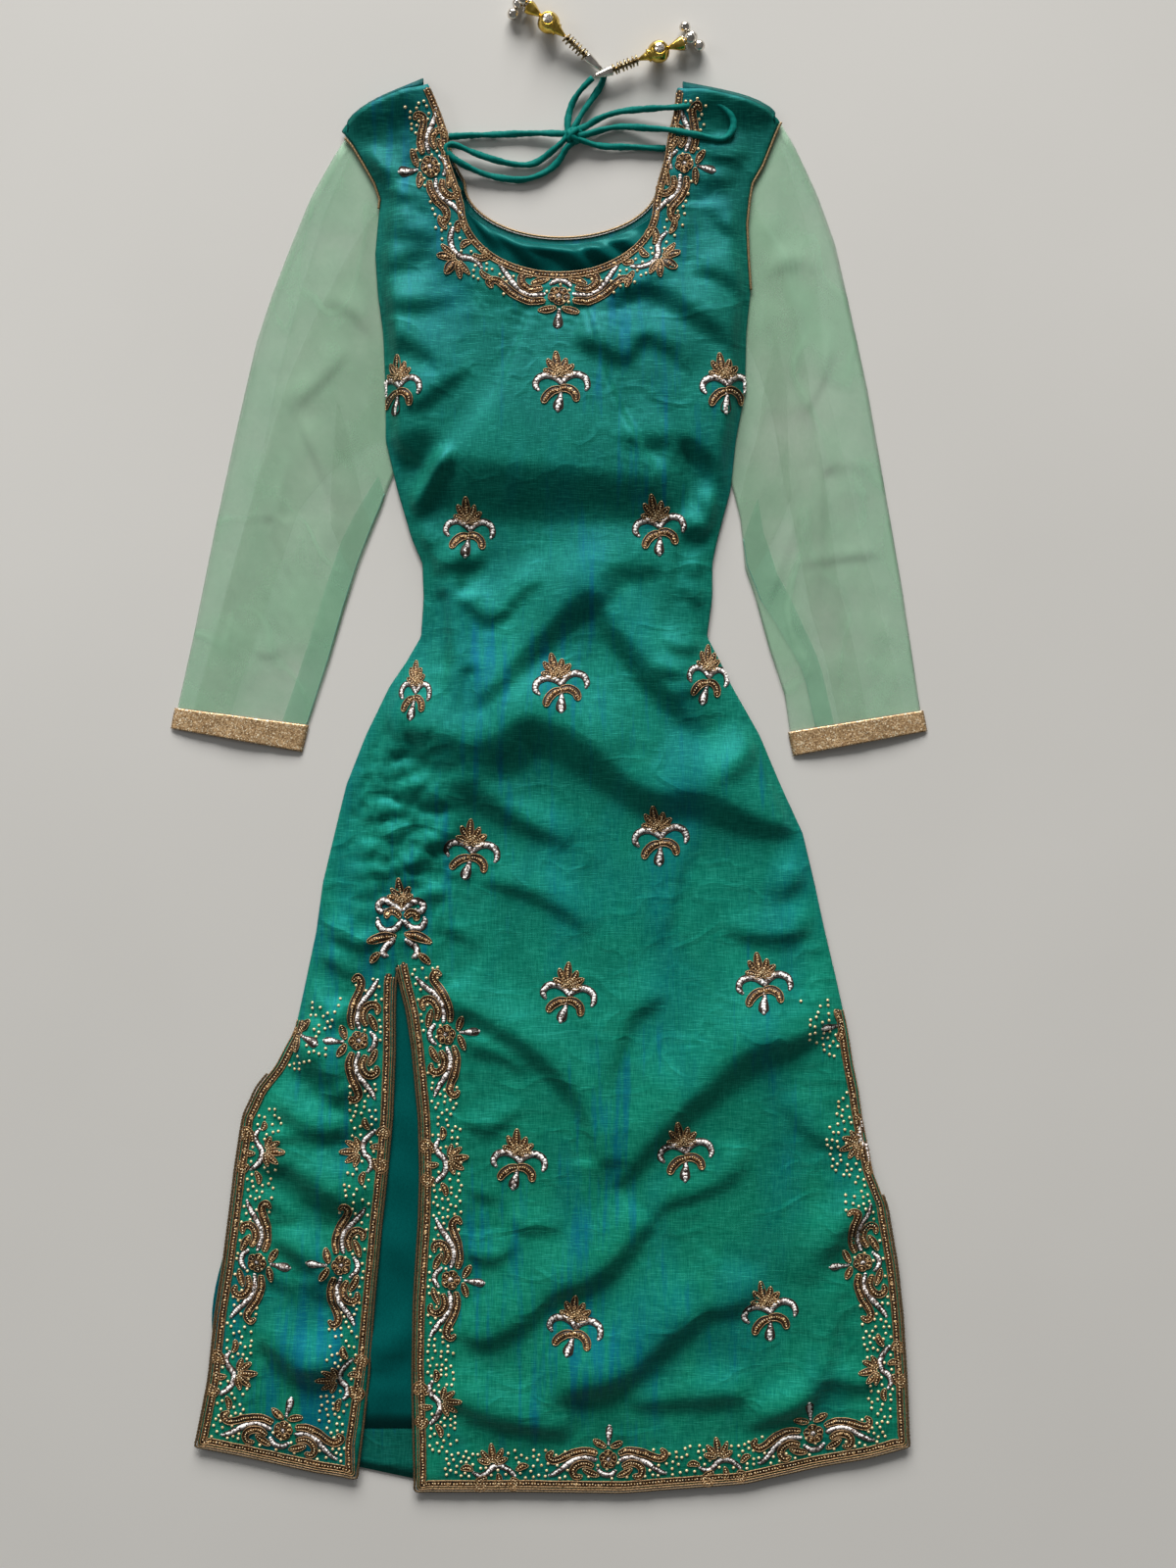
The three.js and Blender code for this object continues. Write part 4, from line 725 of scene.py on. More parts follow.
def shot_silk(name, deep, mid, light, blue, level):
    material, tree, shader = new_material(
        name, Sheen_Weight=0.05, Sheen_Roughness=0.35, Sheen_Tint=(0.0, 0.6, 0.8, 1), IOR=1.6,
        Specular_IOR_Level=level, Specular_Tint=(0.04, 0.55, 0.7, 1))
    threads = use_group(tree, WEAVE, Across=1700.0, Along=110.0)
    base = ramp(tree, threads["Threads"], [(0.36, deep), (0.5, mid), (0.66, light)])
    length = spread(tree, node(tree, "SeparateXYZ", {0: object_place(tree)}).outputs["Y"], TOP_Y, LOW_Y)
    # painted shade, multiplied into the colour from the neck down
    base = mix_colours(tree, 1.0, base, ramp(tree, length, PAINTED_SHADE_DOWN_THE_LENGTH), "MULTIPLY")
    streaks = spread(tree, object_noise(tree, 9.0, 3.0, (1.7, 0.7, 1)), 0.52, 0.75, 0.0, 0.7)
    fine = object_noise(tree, 1.0, 3.0, (420, 30, 40), 3.1)
    tinted = mix_colours(tree, calc(tree, "MULTIPLY", streaks, fine), base, blue)
    tall, few = object_noise(tree, 1.0, 6.0, (170, 14, 20), 8.4), object_noise(tree, 6.0, 2.0, (1.4, 0.7, 1),
                                                                               1.7)
    tinted = mix_colours(tree, spread(tree, calc(tree, "ADD", few, tall), 1.14, 1.32, 0.0, 0.6), tinted, blue)
    patches = ramp(tree, object_noise(tree, 26.0, 3.0), [(0.3, (0.78, 0.8, 0.8)), (0.7, (1.12, 1.1, 1.1))])
    coloured = mix_colours(tree, 1.0, tinted, patches, "MULTIPLY")
    slubbed = mix_colours(tree, calc(tree, "MULTIPLY", threads["Slubs"], 0.6), coloured, light)
    paint(tree, shader, Base_Color=slubbed, Roughness=ramp(tree, threads["Threads"],
                                                           [(0.3, 0.62), (0.7, 0.5)]))
    marks = use_group(tree, CREASES, Scale=9.0, Width=0.035, Stretch=(1.0, 1.5, 1), Seed=4.0)["Lines"]
    small = use_group(tree, CREASES, Scale=24.0, Width=0.07, Stretch=(1.0, 1.4, 1), Seed=7.0)["Lines"]
    relief = None
    for height, strength, distance in ((marks, 0.35, 0.0012), (small, 0.4, 0.0008),
                                       (threads["Threads"], 0.35, 0.0003), (threads["Slubs"], 0.3, 0.0003)):
        relief = bump(tree, shader, height, strength, distance, relief)
    return material


SILK = shot_silk("shot_silk", (0.0, 0.11, 0.065), (0.005, 0.178, 0.112), (0.018, 0.28, 0.19),
                 (0.0, 0.085, 0.2), 0.75)
# Painted shade: the back is the same shot silk as the front, in a darker, less glossy copy for where it lies
# in shade at the shoulder roll and under the flap.
SHADED_BACK_SILK = shot_silk("back_silk_painted_shade", (0.0, 0.06, 0.045), (0.004, 0.1, 0.075), (0.012, 0.17, 0.13),
                      (0.0, 0.06, 0.15), 0.3)
# Painted shade: the hem facing is the same shot silk too, in a darker copy for where it lies in shade inside
# the slit.
SHADED_FACING_SILK = shot_silk("facing_silk_painted_shade", (0.0, 0.06, 0.045), (0.004, 0.1, 0.08), (0.01, 0.15, 0.12),
                        (0.0, 0.06, 0.12), 0.4)


# %% Satin, cord cloth and organza
def satin_lining():
    material, tree, shader = new_material("lining_satin", Specular_IOR_Level=0.2, Specular_Tint=TEAL_SHINE,
                                          Metallic=0.12)
    threads = use_group(tree, WEAVE, Across=2200.0, Along=500.0)["Threads"]
    paint(tree, shader, Base_Color=ramp(tree, threads, [(0.35, (0.0, 0.068, 0.064)),
                                                        (0.65, (0.001, 0.107, 0.1))]),
          Roughness=ramp(tree, object_noise(tree, 30.0), [(0.3, 0.36), (0.7, 0.48)]))
    bump(tree, shader, threads, 0.15, 0.0002)
    return material


def cord_cloth():
    material, tree, shader = new_material("tie_cloth", Specular_IOR_Level=0.15, Specular_Tint=TEAL_SHINE)
    threads = use_group(tree, WEAVE, Across=1500.0, Along=200.0)["Threads"]
    paint(tree, shader, Base_Color=ramp(tree, threads, [(0.3, (0.0, 0.085, 0.07)),
                                                        (0.7, (0.004, 0.2, 0.17))]),
          Roughness=ramp(tree, threads, [(0.3, 0.5), (0.7, 0.62)]))
    bump(tree, shader, threads, 0.5, 0.0004)
    return material


def sheer_organza(name, light, deep, alpha_low, alpha_high):
    """Sheer cloth: its threads cover part of the view, and more of it where they crowd."""
    material, tree, shader = new_material(name, Specular_IOR_Level=0.35)
    threads = use_group(tree, WEAVE, Across=3000.0, Along=700.0)["Threads"]
    cloud, streak = object_noise(tree, 13.0, 4.0), object_noise(tree, 1.0, 3.0, (30, 8, 20), 5.0)
    marks = use_group(tree, CREASES, Scale=7.0, Width=0.018, Stretch=(1.5, 0.7, 1), Seed=2.0)["Lines"]
    crowded = calc(tree, "MULTIPLY_ADD", marks, 0.22, calc(tree, "MULTIPLY_ADD", threads, 0.3, cloud))
    paint(tree, shader, Alpha=spread(tree, crowded, 0.4, 0.9, alpha_low, alpha_high),
          Base_Color=mix_colours(tree, streak, deep, light),
          Roughness=ramp(tree, cloud, [(0.3, 0.45), (0.7, 0.6)]))
    bump(tree, shader, threads, 0.12, 0.0002)
    return material


LINING_SATIN, CORD_CLOTH = satin_lining(), cord_cloth()
ORGANZA = sheer_organza("mint_organza", (0.39, 0.64, 0.44), (0.27, 0.5, 0.33), 0.2, 0.57)
ORGANZA_SEAM = sheer_organza("mint_organza_seam", (0.16, 0.48, 0.3), (0.12, 0.42, 0.26), 0.35, 0.6)
ORGANZA_VEIL = sheer_organza("mint_organza_veil", (0.3, 0.42, 0.26), (0.24, 0.38, 0.22), 0.11, 0.24)
ORGANZA_EDGE = sheer_organza("mint_organza_edge", (0.85, 0.97, 0.88), (0.74, 0.92, 0.8), 0.08, 0.3)


# %% Threads, metals and sequins
def sewing_thread(name, colour):
    material, tree, shader = new_material(name, Roughness=0.6)
    paint(tree, shader, Base_Color=mix_colours(tree, object_noise(tree, 2500.0),
                                               tuple(c * 0.7 for c in colour), colour))
    return material


def metal(name, dark, light, rough_low, rough_high, scale=900.0, metallic=1.0, height=0.2):
    """Plated or drawn metal that varies a little from bead to bead and thread to thread."""
    material, tree, shader = new_material(name, Metallic=metallic)
    spots = object_noise(tree, scale)
    paint(tree, shader, Base_Color=ramp(tree, spots, [(0.35, dark), (0.65, light)]),
          Roughness=ramp(tree, spots, [(0.3, rough_low), (0.7, rough_high)]))
    bump(tree, shader, spots, height, 0.0002)
    return material


def glitter(name, stops, scale, metallic, rough_high, strength, distance, level=0.5):
    """Flat bits of metal: one random colour for each cell of their size, partly the metal's own tone and
    partly painted reflection, dark where a bit would lean away from the light and a painted glint where it
    would catch it.
    """
    material, tree, shader = new_material(name, Metallic=metallic, Specular_IOR_Level=level)
    cells = use_group(tree, CELLS, Scale=scale)
    paint(tree, shader, Base_Color=ramp(tree, cells["First"], stops),
          Roughness=ramp(tree, cells["Second"], [(0.0, 0.2), (1.0, rough_high)]))
    bump(tree, shader, cells["Third"], strength, distance)
    return material


# In these ramps the darkest stops are painted shade and the brightest are painted glints.
BRONZE_SEQUIN = glitter("bronze_sequin", [(0.0, (0.04, 0.015, 0.005)), (0.5, (0.135, 0.056, 0.018)),
                                          (0.85, (0.26, 0.128, 0.047)), (0.97, (0.85, 0.56, 0.28))],
                        620.0, 0.2, 0.5, 0.3, 0.0002, 0.2)
SILVER_SEQUIN = glitter("silver_sequin", [(0.16, (0.2, 0.14, 0.12)), (0.22, (0.86, 0.78, 0.74)),
                                          (0.7, (1.0, 0.95, 0.92)), (0.95, (1.0, 0.99, 0.97))],
                        560.0, 0.0, 0.5, 0.3, 0.0002)
RIBBON = glitter("gold_ribbon", [(0.0, (0.22, 0.12, 0.05)), (0.5, (0.5, 0.32, 0.16)),
                                 (0.85, (0.72, 0.5, 0.27)), (0.97, (1.0, 0.88, 0.65))], 1300.0, 0.4, 0.55,
                 0.5, 0.0004)
# A near-black colour: real threads and beads, and also painted shade under and round the embroidery.
DARK_THREAD_AND_SHADE = sewing_thread("dark_thread_and_shade", (0.035, 0.022, 0.014))
MINT_THREAD = sewing_thread("mint_thread", (0.12, 0.33, 0.26))
DULL_PIPING = metal("dull_piping", (0.05, 0.034, 0.016), (0.19, 0.126, 0.062), 0.4, 0.55, 1500.0, 0.4)
GOLD_BEAD = metal("gold_bead", (0.62, 0.42, 0.19), (1.0, 0.84, 0.54), 0.15, 0.35, 500.0, 0.2)
METAL_THREAD = metal("metal_thread", (0.11, 0.06, 0.024), (0.46, 0.28, 0.13), 0.3, 0.5, 1400.0, 0.4)
PIPING_METAL = metal("gold_piping", (0.14, 0.085, 0.035), (0.42, 0.29, 0.15), 0.35, 0.5, 1500.0, 0.5)
BRASS = metal("antique_brass", (0.2, 0.14, 0.06), (0.55, 0.45, 0.27), 0.18, 0.35, 400.0)
GILT = metal("gilt_metal", (0.5, 0.31, 0.04), (0.84, 0.6, 0.14), 0.12, 0.28, 200.0)
SILVER = metal("silver_metal", (0.58, 0.53, 0.46), (0.92, 0.86, 0.79), 0.1, 0.24, 150.0, 1.0, 0.05)

# %% Crystal and floor
# Painted reflection: the crystal's dark and light patches stand in for its facets reflecting the room.
CRYSTAL, tree, shader = new_material("crystal", Metallic=0.6, Roughness=0.05)
paint(tree, shader, Base_Color=ramp(tree, object_noise(tree, 900.0),
                                    [(0.4, (0.34, 0.27, 0.2)), (0.6, (0.95, 0.9, 0.84))]))
FLOOR, tree, shader = new_material("floor", Roughness=0.7)
paint(tree, shader, Base_Color=ramp(tree, object_noise(tree, 2.0, 4.0), [(0.3, (0.60, 0.59, 0.565)),
                                                                         (0.7, (0.64, 0.63, 0.605))]))
print("materials:", len(bpy.data.materials))

# %% [markdown]
# ## The front
# The largest piece: one panel of shot silk with a scooped neck, long darts and a leg slit. It is a fine grid
# whose heights come from the fold tables, then thickened to a wall. Its side seams roll under to meet the
# back.

# %% Front panel
CLOTH_WALL = 0.0008
FRONT = panel_grid(26, 84, 30, 168, 108, NECK_CORNER, FRONT_CURVE, FRONT_STRAPS, SHOULDER_ROLL + 0.5,
                   side_edges, hem_at, slit=True)
FRONT["z"] = front_z(FRONT["x"], FRONT["down"])
front = lay("front_cloth", (to_metres(FRONT["x"], FRONT["down"], FRONT["z"]), FRONT["quads"]), SILK,
            "shot_silk", "front_panel", wall=CLOTH_WALL)

# %% [markdown]
# ## The back
# The back lies flat on the floor. It is cut longer at the top, so it rolls over the shoulders and meets the
# front in a seam a finger's width down. Its rows are the panel's grid with extra rows that carry it over the
# roll.

# %% Back panel
BACK_INSET, PEEK = 5.0, dict(down=930.0, spread=55.0, out=10.0)
WRAP = [(8.0, 4.0), (6.4, 4.5), (4.8, 4.8), (3.2, 4.8), (1.6, 4.4), (0.6, 3.8), (0.1, 3.0), (0.2, 2.2),
        (0.9, 1.5), (2.2, 0.9), (4.0, BACK_Z)]


def back_sides(down):
    left, right = side_edges(down)
    return (left + BACK_INSET - PEEK["out"] * np.exp(-(((down - PEEK["down"]) / PEEK["spread"]) ** 2)),
            right - BACK_INSET)


def back_hem(x):
    return hem_at(x) - 7


BACK = panel_grid(12, 40, 10, 60, 40, BACK_CORNER, BACK_CURVE, BACK_STRAPS, WRAP[-1][0], back_sides, back_hem)
back_z = np.full(len(BACK["x"]), BACK_Z)
x, down, z, quads = list(BACK["x"]), list(BACK["down"]), list(back_z), list(BACK["quads"])
for js in (range(0, BACK["sc"] + 1), range(BACK["ne"], BACK["columns"] + 1)):
    row = [int(BACK["number"][0, j, 0]) for j in js]
    base = list(row)
    for inward, height in WRAP[:-1][::-1]:
        new = []
        for b in base:
            new.append(len(x))
            x.append(x[b])
            down.append(down[b] - WRAP[-1][0] + inward)
            over = float(front_z(np.array([x[b]]), np.array([down[b] - WRAP[-1][0] + SHOULDER_ROLL
                                                             + 0.5]))[0]) - 0.7
            z.append(lerp(height, max(over, height), float(smooth(inward, 1.0, 6.4)) if height > 2.5
                          else 0.0))
        quads += [(new[k], row[k], row[k + 1], new[k + 1]) for k in range(len(new) - 1)]
        row = new
back = lay("back_cloth", (to_metres(x, down, z), quads), SHADED_BACK_SILK, "shot_silk", "back_panel",
           wall=CLOTH_WALL)

# %% [markdown]
# ## Lining and hem facing
# The back is lined in a darker satin. It shows in two places: between the two necklines, where it lies in
# slack folds, and in the slit. A strip of the silk faces the back's hem below it.

# %% Lining
LINING_FOLDS = [
    (8, [(-54, 104, 5, 0), (-42, 112, 7, 3), (-28, 122, 8, 4), (-16, 136, 7, 3.5), (-6, 150, 5, 0)]),
    (7, [(-22, 124, 5, 0), (-10, 128, 7, 3.5), (6, 130, 8, 4), (18, 138, 8, 4), (28, 150, 6, 0)]),
    (6, [(16, 120, 4, 0), (26, 126, 6, 3.4), (36, 133, 7, 3.8), (48, 140, 6, 2), (58, 146, 5, 0)]),
    (6, [(28, 114, 4, 0), (40, 120, 6, 3), (52, 124, 6, 3), (66, 131, 6, 2.4), (78, 136, 5, 0)]),
    (7, [(-64, 90, 4, 0), (-56, 102, 6, 2.4), (-46, 118, 6, 2.4), (-38, 132, 5, 0)]),
]
SLIT_FOLDS = [
    (10, [(-150, 968, 8, 0), (-134, 973, 16, 2.2), (-120, 970, 16, 2.4), (-106, 958, 12, 2),
          (-96, 944, 8, 0)]),
    (8, [(-146, 1004, 6, 0), (-132, 1008, 12, 1.6), (-118, 1004, 10, 1.4), (-104, 1008, 8, 1)]),
    (10, [(-134, 884, 8, 0), (-120, 892, 12, 1.6), (-106, 906, 10, 1.2), (-96, 920, 8, 0)]),
    (8, [(-124, 780, 6, 0), (-114, 790, 10, 1.2), (-106, 806, 10, 1.2), (-98, 824, 6, 0)]),
    (8, [(-128, 846, 6, 0), (-118, 842, 10, 1.2), (-104, 846, 8, 0.8)]),
]
LINING_INSET, LINING_NECK_DROP = 12.0, 4.0


def lining_sides(down):
    left, right = side_edges(down)
    return left + LINING_INSET, right - LINING_INSET


lining_straps = BACK_STRAPS + np.array([0, -LINING_NECK_DROP, LINING_NECK_DROP])
lining_straps[-1, 0] += LINING_NECK_DROP
LINING = panel_grid(14, 56, 8, 90, 30, BACK_CORNER + LINING_NECK_DROP, BACK_CURVE, lining_straps, 16,
                    lining_sides, lambda x: np.full_like(np.asarray(x, float), LINING_HEM), crowding=1.6)
x, down = LINING["x"], LINING["down"]
neck_curve = BACK_CURVE["drop"] * np.sqrt(
    np.clip(1 - ((x - BACK_CURVE["middle"]) / BACK_CURVE["half_width"]) ** 2, 0, 1))
room = (1 - smooth(down, 146, 158)) * smooth(down - BACK_CORNER - neck_curve, 3, 12)
folds = 1.5 * sum(fold_height(f, x, down) for f in LINING_FOLDS)
slit_left, slit_right = read(SLIT, 1, down), read(SLIT, 2, down)
slit_room = smooth(x, slit_left - 1, slit_left + 6) * (1 - smooth(x, slit_right - 6, slit_right + 1))
slit_folds = 1.6 * sum(fold_height(f, x, down) for f in SLIT_FOLDS) * smooth(down, 700, 760) * slit_room
z = LINING_Z + folds * room + slit_folds
lining = lay("back_lining_cloth", (to_metres(x, down, z), LINING["quads"]), LINING_SATIN, "lining_satin",
             "back_lining", wall=0.0006)

# %% Hem facing
FACING_Z, FACING_ROWS, FACING_COLUMNS = 1.35, 6, 120
left, right = (float(e) for e in back_sides(HEM_LEVEL))
xs = np.linspace(left + LINING_INSET, right - LINING_INSET, FACING_COLUMNS)
down = np.concatenate([lerp(np.full_like(xs, LINING_HEM - 3.0), hem_at(xs) - 8, t)
                       for t in np.linspace(0, 1, FACING_ROWS)])
xs = np.tile(xs, FACING_ROWS)
facing = lay("hem_facing_cloth", (to_metres(xs, down, np.full_like(xs, FACING_Z)),
                                  grid_faces(FACING_ROWS, FACING_COLUMNS)),
             SHADED_FACING_SILK, "lining_satin", "back_hem_facing", wall=0.0004)

# %% [markdown]
# ## Sleeves
# Each sleeve is one piece of organza folded into a flat tube, with its seam along the inner edge. Both layers
# are there, because the tint of the real one comes from looking through two: the mesh is a ring of points for
# each row, over the top and back under, and the seam's allowance is a strip of its own inside.

# %% Sleeve shapes
SLEEVES = {
    "left": dict(
        hand=-1, tip=45, underarm=300, cuff_outer=481, cuff_inner=494, piped_to=100,
        outer=np.array([(45, -161), (60, -169), (90, -184), (127, -198), (165, -212), (202, -224),
                        (277, -241), (352, -257), (427, -272), (481, -284)], float),
        inner=np.array([(300, -122), (330, -130), (371, -145), (408, -157), (446, -168), (494, -184)], float),
        cuff=[(-286, 481.3), (-184, 494.6), (-189, 515), (-289, 497)]),
    "right": dict(
        hand=1, tip=33, underarm=305, cuff_outer=483, cuff_inner=499, piped_to=162,
        outer=np.array([(33, 184), (52, 193), (90, 208), (127, 220), (165, 228), (240, 244), (315, 257),
                        (390, 270), (483, 284)], float),
        inner=np.array([(305, 141), (337, 147), (375, 150), (395, 157), (438, 169), (471, 180), (499, 184)],
                       float),
        cuff=[(286, 483.3), (183, 499.8), (187, 518), (289, 499)]),
}
SLEEVE_FOLDS = {
    "left": [(9, [(-178, 166, 4, 0), (-162, 172, 6, 1.6), (-146, 182, 6, 1.8), (-130, 200, 4, 0)]),
             (8, [(-198, 254, 4, 0), (-184, 240, 6, 1.8), (-166, 222, 6, 1.8), (-150, 204, 4, 0)]),
             (8, [(-192, 258, 4, 0), (-182, 276, 6, 1.4), (-172, 300, 6, 1.4), (-160, 332, 4, 0)]),
             (9, [(-212, 140, 4, 0), (-226, 200, 6, 1.2), (-240, 270, 6, 1.4), (-254, 360, 4, 0)]),
             (9, [(-198, 290, 4, 0), (-206, 320, 6, 1), (-206, 350, 6, 1.2), (-196, 384, 4, 0)]),
             (8, [(-228, 436, 4, 0), (-214, 440, 6, 1), (-198, 434, 4, 0)])],
    "right": [(9, [(188, 60, 4, 0), (200, 100, 6, 1.6), (210, 150, 6, 1.8), (216, 196, 4, 0)]),
              (8, [(164, 152, 4, 0), (178, 143, 6, 1.8), (194, 142, 6, 1.8), (210, 150, 4, 0)]),
              (8, [(216, 188, 4, 0), (211, 220, 6, 1.6), (200, 246, 6, 1.4), (188, 264, 4, 0)]),
              (8, [(206, 236, 4, 0), (207, 300, 6, 1.4), (206, 360, 6, 1.4), (203, 424, 4, 0)]),
              (8, [(192, 326, 4, 0), (182, 356, 6, 1.2), (172, 386, 6, 1.2), (164, 410, 4, 0)]),
              (6, [(184, 373, 4, 0), (212, 368, 5, 1.2), (240, 364, 5, 1.2), (262, 363, 4, 0)]),
              (9, [(198, 302, 4, 0), (224, 296, 5, 1), (252, 304, 4, 0)])],
}
SEAM_GAP_PIPED, SEAM_GAP_PLAIN = -1.0, -2.5
EDGE_RISE, SLEEVE_AIR, UNDER_Z, UNDER_INSET = 0.5, 2.6, 0.4, 0.012


def body_side(sleeve, down):
    """The body's edge that the sleeve is sewn to."""
    return side_edges(down)[1 if sleeve["hand"] > 0 else 0]


def between(corners, s, t):
    """Places inside four corners, in the order round them: s from the first pair to the last, t across."""
    a, b, c, d = (np.asarray(corner, float) for corner in corners)
    s2, t2 = s[..., None], t[..., None]
    return lerp(lerp(a, b, t2), lerp(d, c, t2), s2)


def sleeve_place(sleeve, s, t):
    """Flat places on a sleeve: s from the armhole to the cuff, t from the outer fold to the inner seam."""
    def armhole(share):
        down = lerp(sleeve["tip"], sleeve["underarm"], share)
        gap = lerp(SEAM_GAP_PIPED, SEAM_GAP_PLAIN, smooth(down, sleeve["piped_to"], sleeve["piped_to"] + 20))
        return np.stack([body_side(sleeve, down) + sleeve["hand"] * gap, down], axis=-1)

    near, first_and_last = ((1 - s) ** 8)[..., None], armhole(np.array([0.0, 1.0]))
    edges, ends = [], []
    for side, top, start, end in (("outer", first_and_last[0], "tip", "cuff_outer"),
                                  ("inner", first_and_last[1], "underarm", "cuff_inner")):
        table, down = sleeve[side], lerp(sleeve[start], sleeve[end], s)
        edge = np.stack([np.interp(down, table[:, 0], table[:, 1]), down], axis=-1)
        edges.append(edge + near * (top - np.array([table[0, 1], sleeve[start]])))
        ends.append(np.array([table[-1, 1], sleeve[end]]))
    s2, t2 = s[..., None], t[..., None]
    cuff = lerp(*ends, t2)
    return lerp(armhole(t), cuff, s2) + lerp(*edges, t2) - lerp(lerp(*first_and_last, t2), cuff, s2)


def sleeve_top_z(name, x, down, t):
    folds = 0.85 * sum(fold_height(f, x.ravel(), down.ravel()) for f in SLEEVE_FOLDS[name]).reshape(x.shape)
    body = np.sin(np.pi * np.clip(t, 0, 1)) ** 0.8
    crumple = (0.45 * ripple(x, down, 40, 12) + 0.34 * ripple(x * 1.6, down, 22, 13)
               + 0.15 * ripple(x * 1.5, down, 11, 14))
    height = EDGE_RISE + SLEEVE_AIR * body + (folds + crumple) * smooth(body, 0.1, 0.6)
    return UNDER_Z + 0.1 + height * rise_from_seam(SLEEVES[name], x, down)


def rise_from_seam(sleeve, x, down):
    """None at the armhole, where the sleeve lies under the silk's edge, and all of it a little way out."""
    return smooth((x - body_side(sleeve, down)) * sleeve["hand"], 0, 14)


def flat_tube_mesh(place, top_z, rows, steps):
    """A tube that lies flat: each row goes over the top and back under."""
    under = np.linspace(1, 0, steps + 1)[1:-1]
    across = np.concatenate([np.linspace(0, 1, steps + 1), UNDER_INSET + under * (1 - 2 * UNDER_INSET)])
    s, t = np.meshgrid(np.linspace(0, 1, rows + 1), across, indexing="ij")
    x, down = np.moveaxis(place(s, t), -1, 0)
    ring = len(across)
    z = np.where(np.arange(ring)[None, :] <= steps, top_z(x, down, t), UNDER_Z)
    faces = [(i * ring + k, (i + 1) * ring + k, (i + 1) * ring + (k + 1) % ring, i * ring + (k + 1) % ring)
             for i in range(rows) for k in range(ring)]
    return to_metres(x, down, z).reshape(-1, 3), faces


# What lies inside each sleeve: rows of (share down the sleeve, from, to), both shares across it.
SLEEVE_STRIPS = {
    "left": [([(0.1, 0.99, 0.93), (0.4, 0.985, 0.85), (1, 0.985, 0.8)], ORGANZA_SEAM),
             ([(0, 0.2, 0.9), (0.25, 0.17, 0.7), (0.5, 0.15, 0.5), (1, 0.12, 0.4)], ORGANZA_VEIL),
             ([(0.22, 0.5, 0.98), (0.32, 0.62, 0.99), (0.42, 0.74, 0.99)], ORGANZA_VEIL),
             ([(0, 0.01, 0.03), (0.3, 0.01, 0.1), (0.6, 0.01, 0.15), (1, 0.01, 0.12)], ORGANZA_EDGE)],
    "right": [([(0.25, 0.99, 0.84), (0.5, 0.97, 0.83), (0.8, 0.83, 0.7), (1, 0.8, 0.66)], ORGANZA_SEAM),
              ([(0, 0.2, 0.6), (0.3, 0.26, 0.62), (0.7, 0.42, 0.66), (1, 0.4, 0.62)], ORGANZA_VEIL),
              ([(0.12, 0.42, 0.98), (0.25, 0.5, 0.99), (0.42, 0.6, 0.98)], ORGANZA_VEIL),
              ([(0, 0.01, 0.03), (0.4, 0.01, 0.18), (0.7, 0.01, 0.18), (1, 0.01, 0.12)], ORGANZA_EDGE)],
}

# %% Sleeves, seams and cuffs
for name, sleeve in SLEEVES.items():
    lay(f"sleeve_{name}_cloth", flat_tube_mesh(lambda s, t: sleeve_place(sleeve, s, t),
                                               lambda x, d, t: sleeve_top_z(name, x, d, t), 150, 48),
        ORGANZA, "sheer_organza", f"sleeve_{name}")
    # what shows through it: the seam's allowance, the places where the cloth is folded double, and a pale
    # strip along the outer fold that makes that band lighter
    for k, (edge, material) in enumerate(SLEEVE_STRIPS[name]):
        s = np.linspace(0, 1, 80)
        s = s[(s >= edge[0][0]) & (s <= edge[-1][0])]
        t0, t1 = (np.interp(s, [e[0] for e in edge], [e[column] for e in edge])[:, None] for column in (1, 2))
        t = lerp(t0, t1, np.linspace(0, 1, 7)[None, :])
        x, down = np.moveaxis(sleeve_place(sleeve, s[:, None] + 0 * t, t), -1, 0)
        height = 0.2 + 0.3 * (k % 3) + 0.12 * ripple(x, down, 30, 40 + k)
        z = UNDER_Z + 0.05 + height * rise_from_seam(sleeve, x, down)
        lay(f"sleeve_{name}_inside_{k + 1}", (to_metres(x, down, z).reshape(-1, 3), grid_faces(*t.shape)),
            material, "sheer_organza")
        if k == 0:  # its line of stitches
            line = to_metres(x[:, 0], down[:, 0], UNDER_Z + 0.9 + 0 * s)
            lay(f"sleeve_{name}_seam_stitches", tube_mesh(smooth_path(line, 0.003), 0.0003, 5), MINT_THREAD,
                "sheer_organza")

    def cuff_z(x, down, t):
        body = np.sin(np.pi * np.clip(t, 0, 1)) ** 0.6
        crinkle = 0.7 * ripple(x, down, 30, 21) + 0.5 * ripple(x * 1.4, down, 13, 22)
        return UNDER_Z + EDGE_RISE + SLEEVE_AIR * body + crinkle * body

    # the cuff's ribbon, a short flat band
    lay(f"cuff_{name}_ribbon", flat_tube_mesh(lambda s, t: between(sleeve["cuff"], s, t), cuff_z, 14, 44),
        RIBBON, "gold_ribbon", f"cuff_{name}", wall=0.0007)

# %% [markdown]
# ## Piping
# Fine metal cord is sewn into the edges. It is two plies twisted together, so its section has two lobes that
# turn along its length, which gives the slanted stripes of the real one.

# %% Piping
PIPING_RADIUS, PIPING_OFFSET = 0.92, 1.3


def edge_line(grid, z, cells):
    ids = [int(grid["number"][i, j, k]) for i, j, k in cells]
    return np.stack([grid["x"][ids], -grid["down"][ids], z[ids]], axis=1)


def beside(line, outward, offset):
    """A line moved sideways on the flat."""
    step = unit(np.gradient(line, axis=0)[:, :2])
    return line + np.stack([-step[:, 1], step[:, 0], 0 * step[:, 0]], axis=1) * outward * offset


def sew_piping(name, line, material=PIPING_METAL):
    path = smooth_path(line, 0.9)
    points = to_metres(path[:, 0], -path[:, 1], path[:, 2])
    lay(f"piping_{name}_cord", tube_mesh(points, PIPING_RADIUS * MM, 8, lobes=0.16, twist=1150.0), material,
        "gold_cord", f"piping_{name}")


def first_free_row(name, column, side):
    """The first row of the front below the end of a side seam."""
    return next(i for i in range(R) if FRONT["down"][FRONT["number"][i, column, side]] > SEWN_TO[name] + 8)


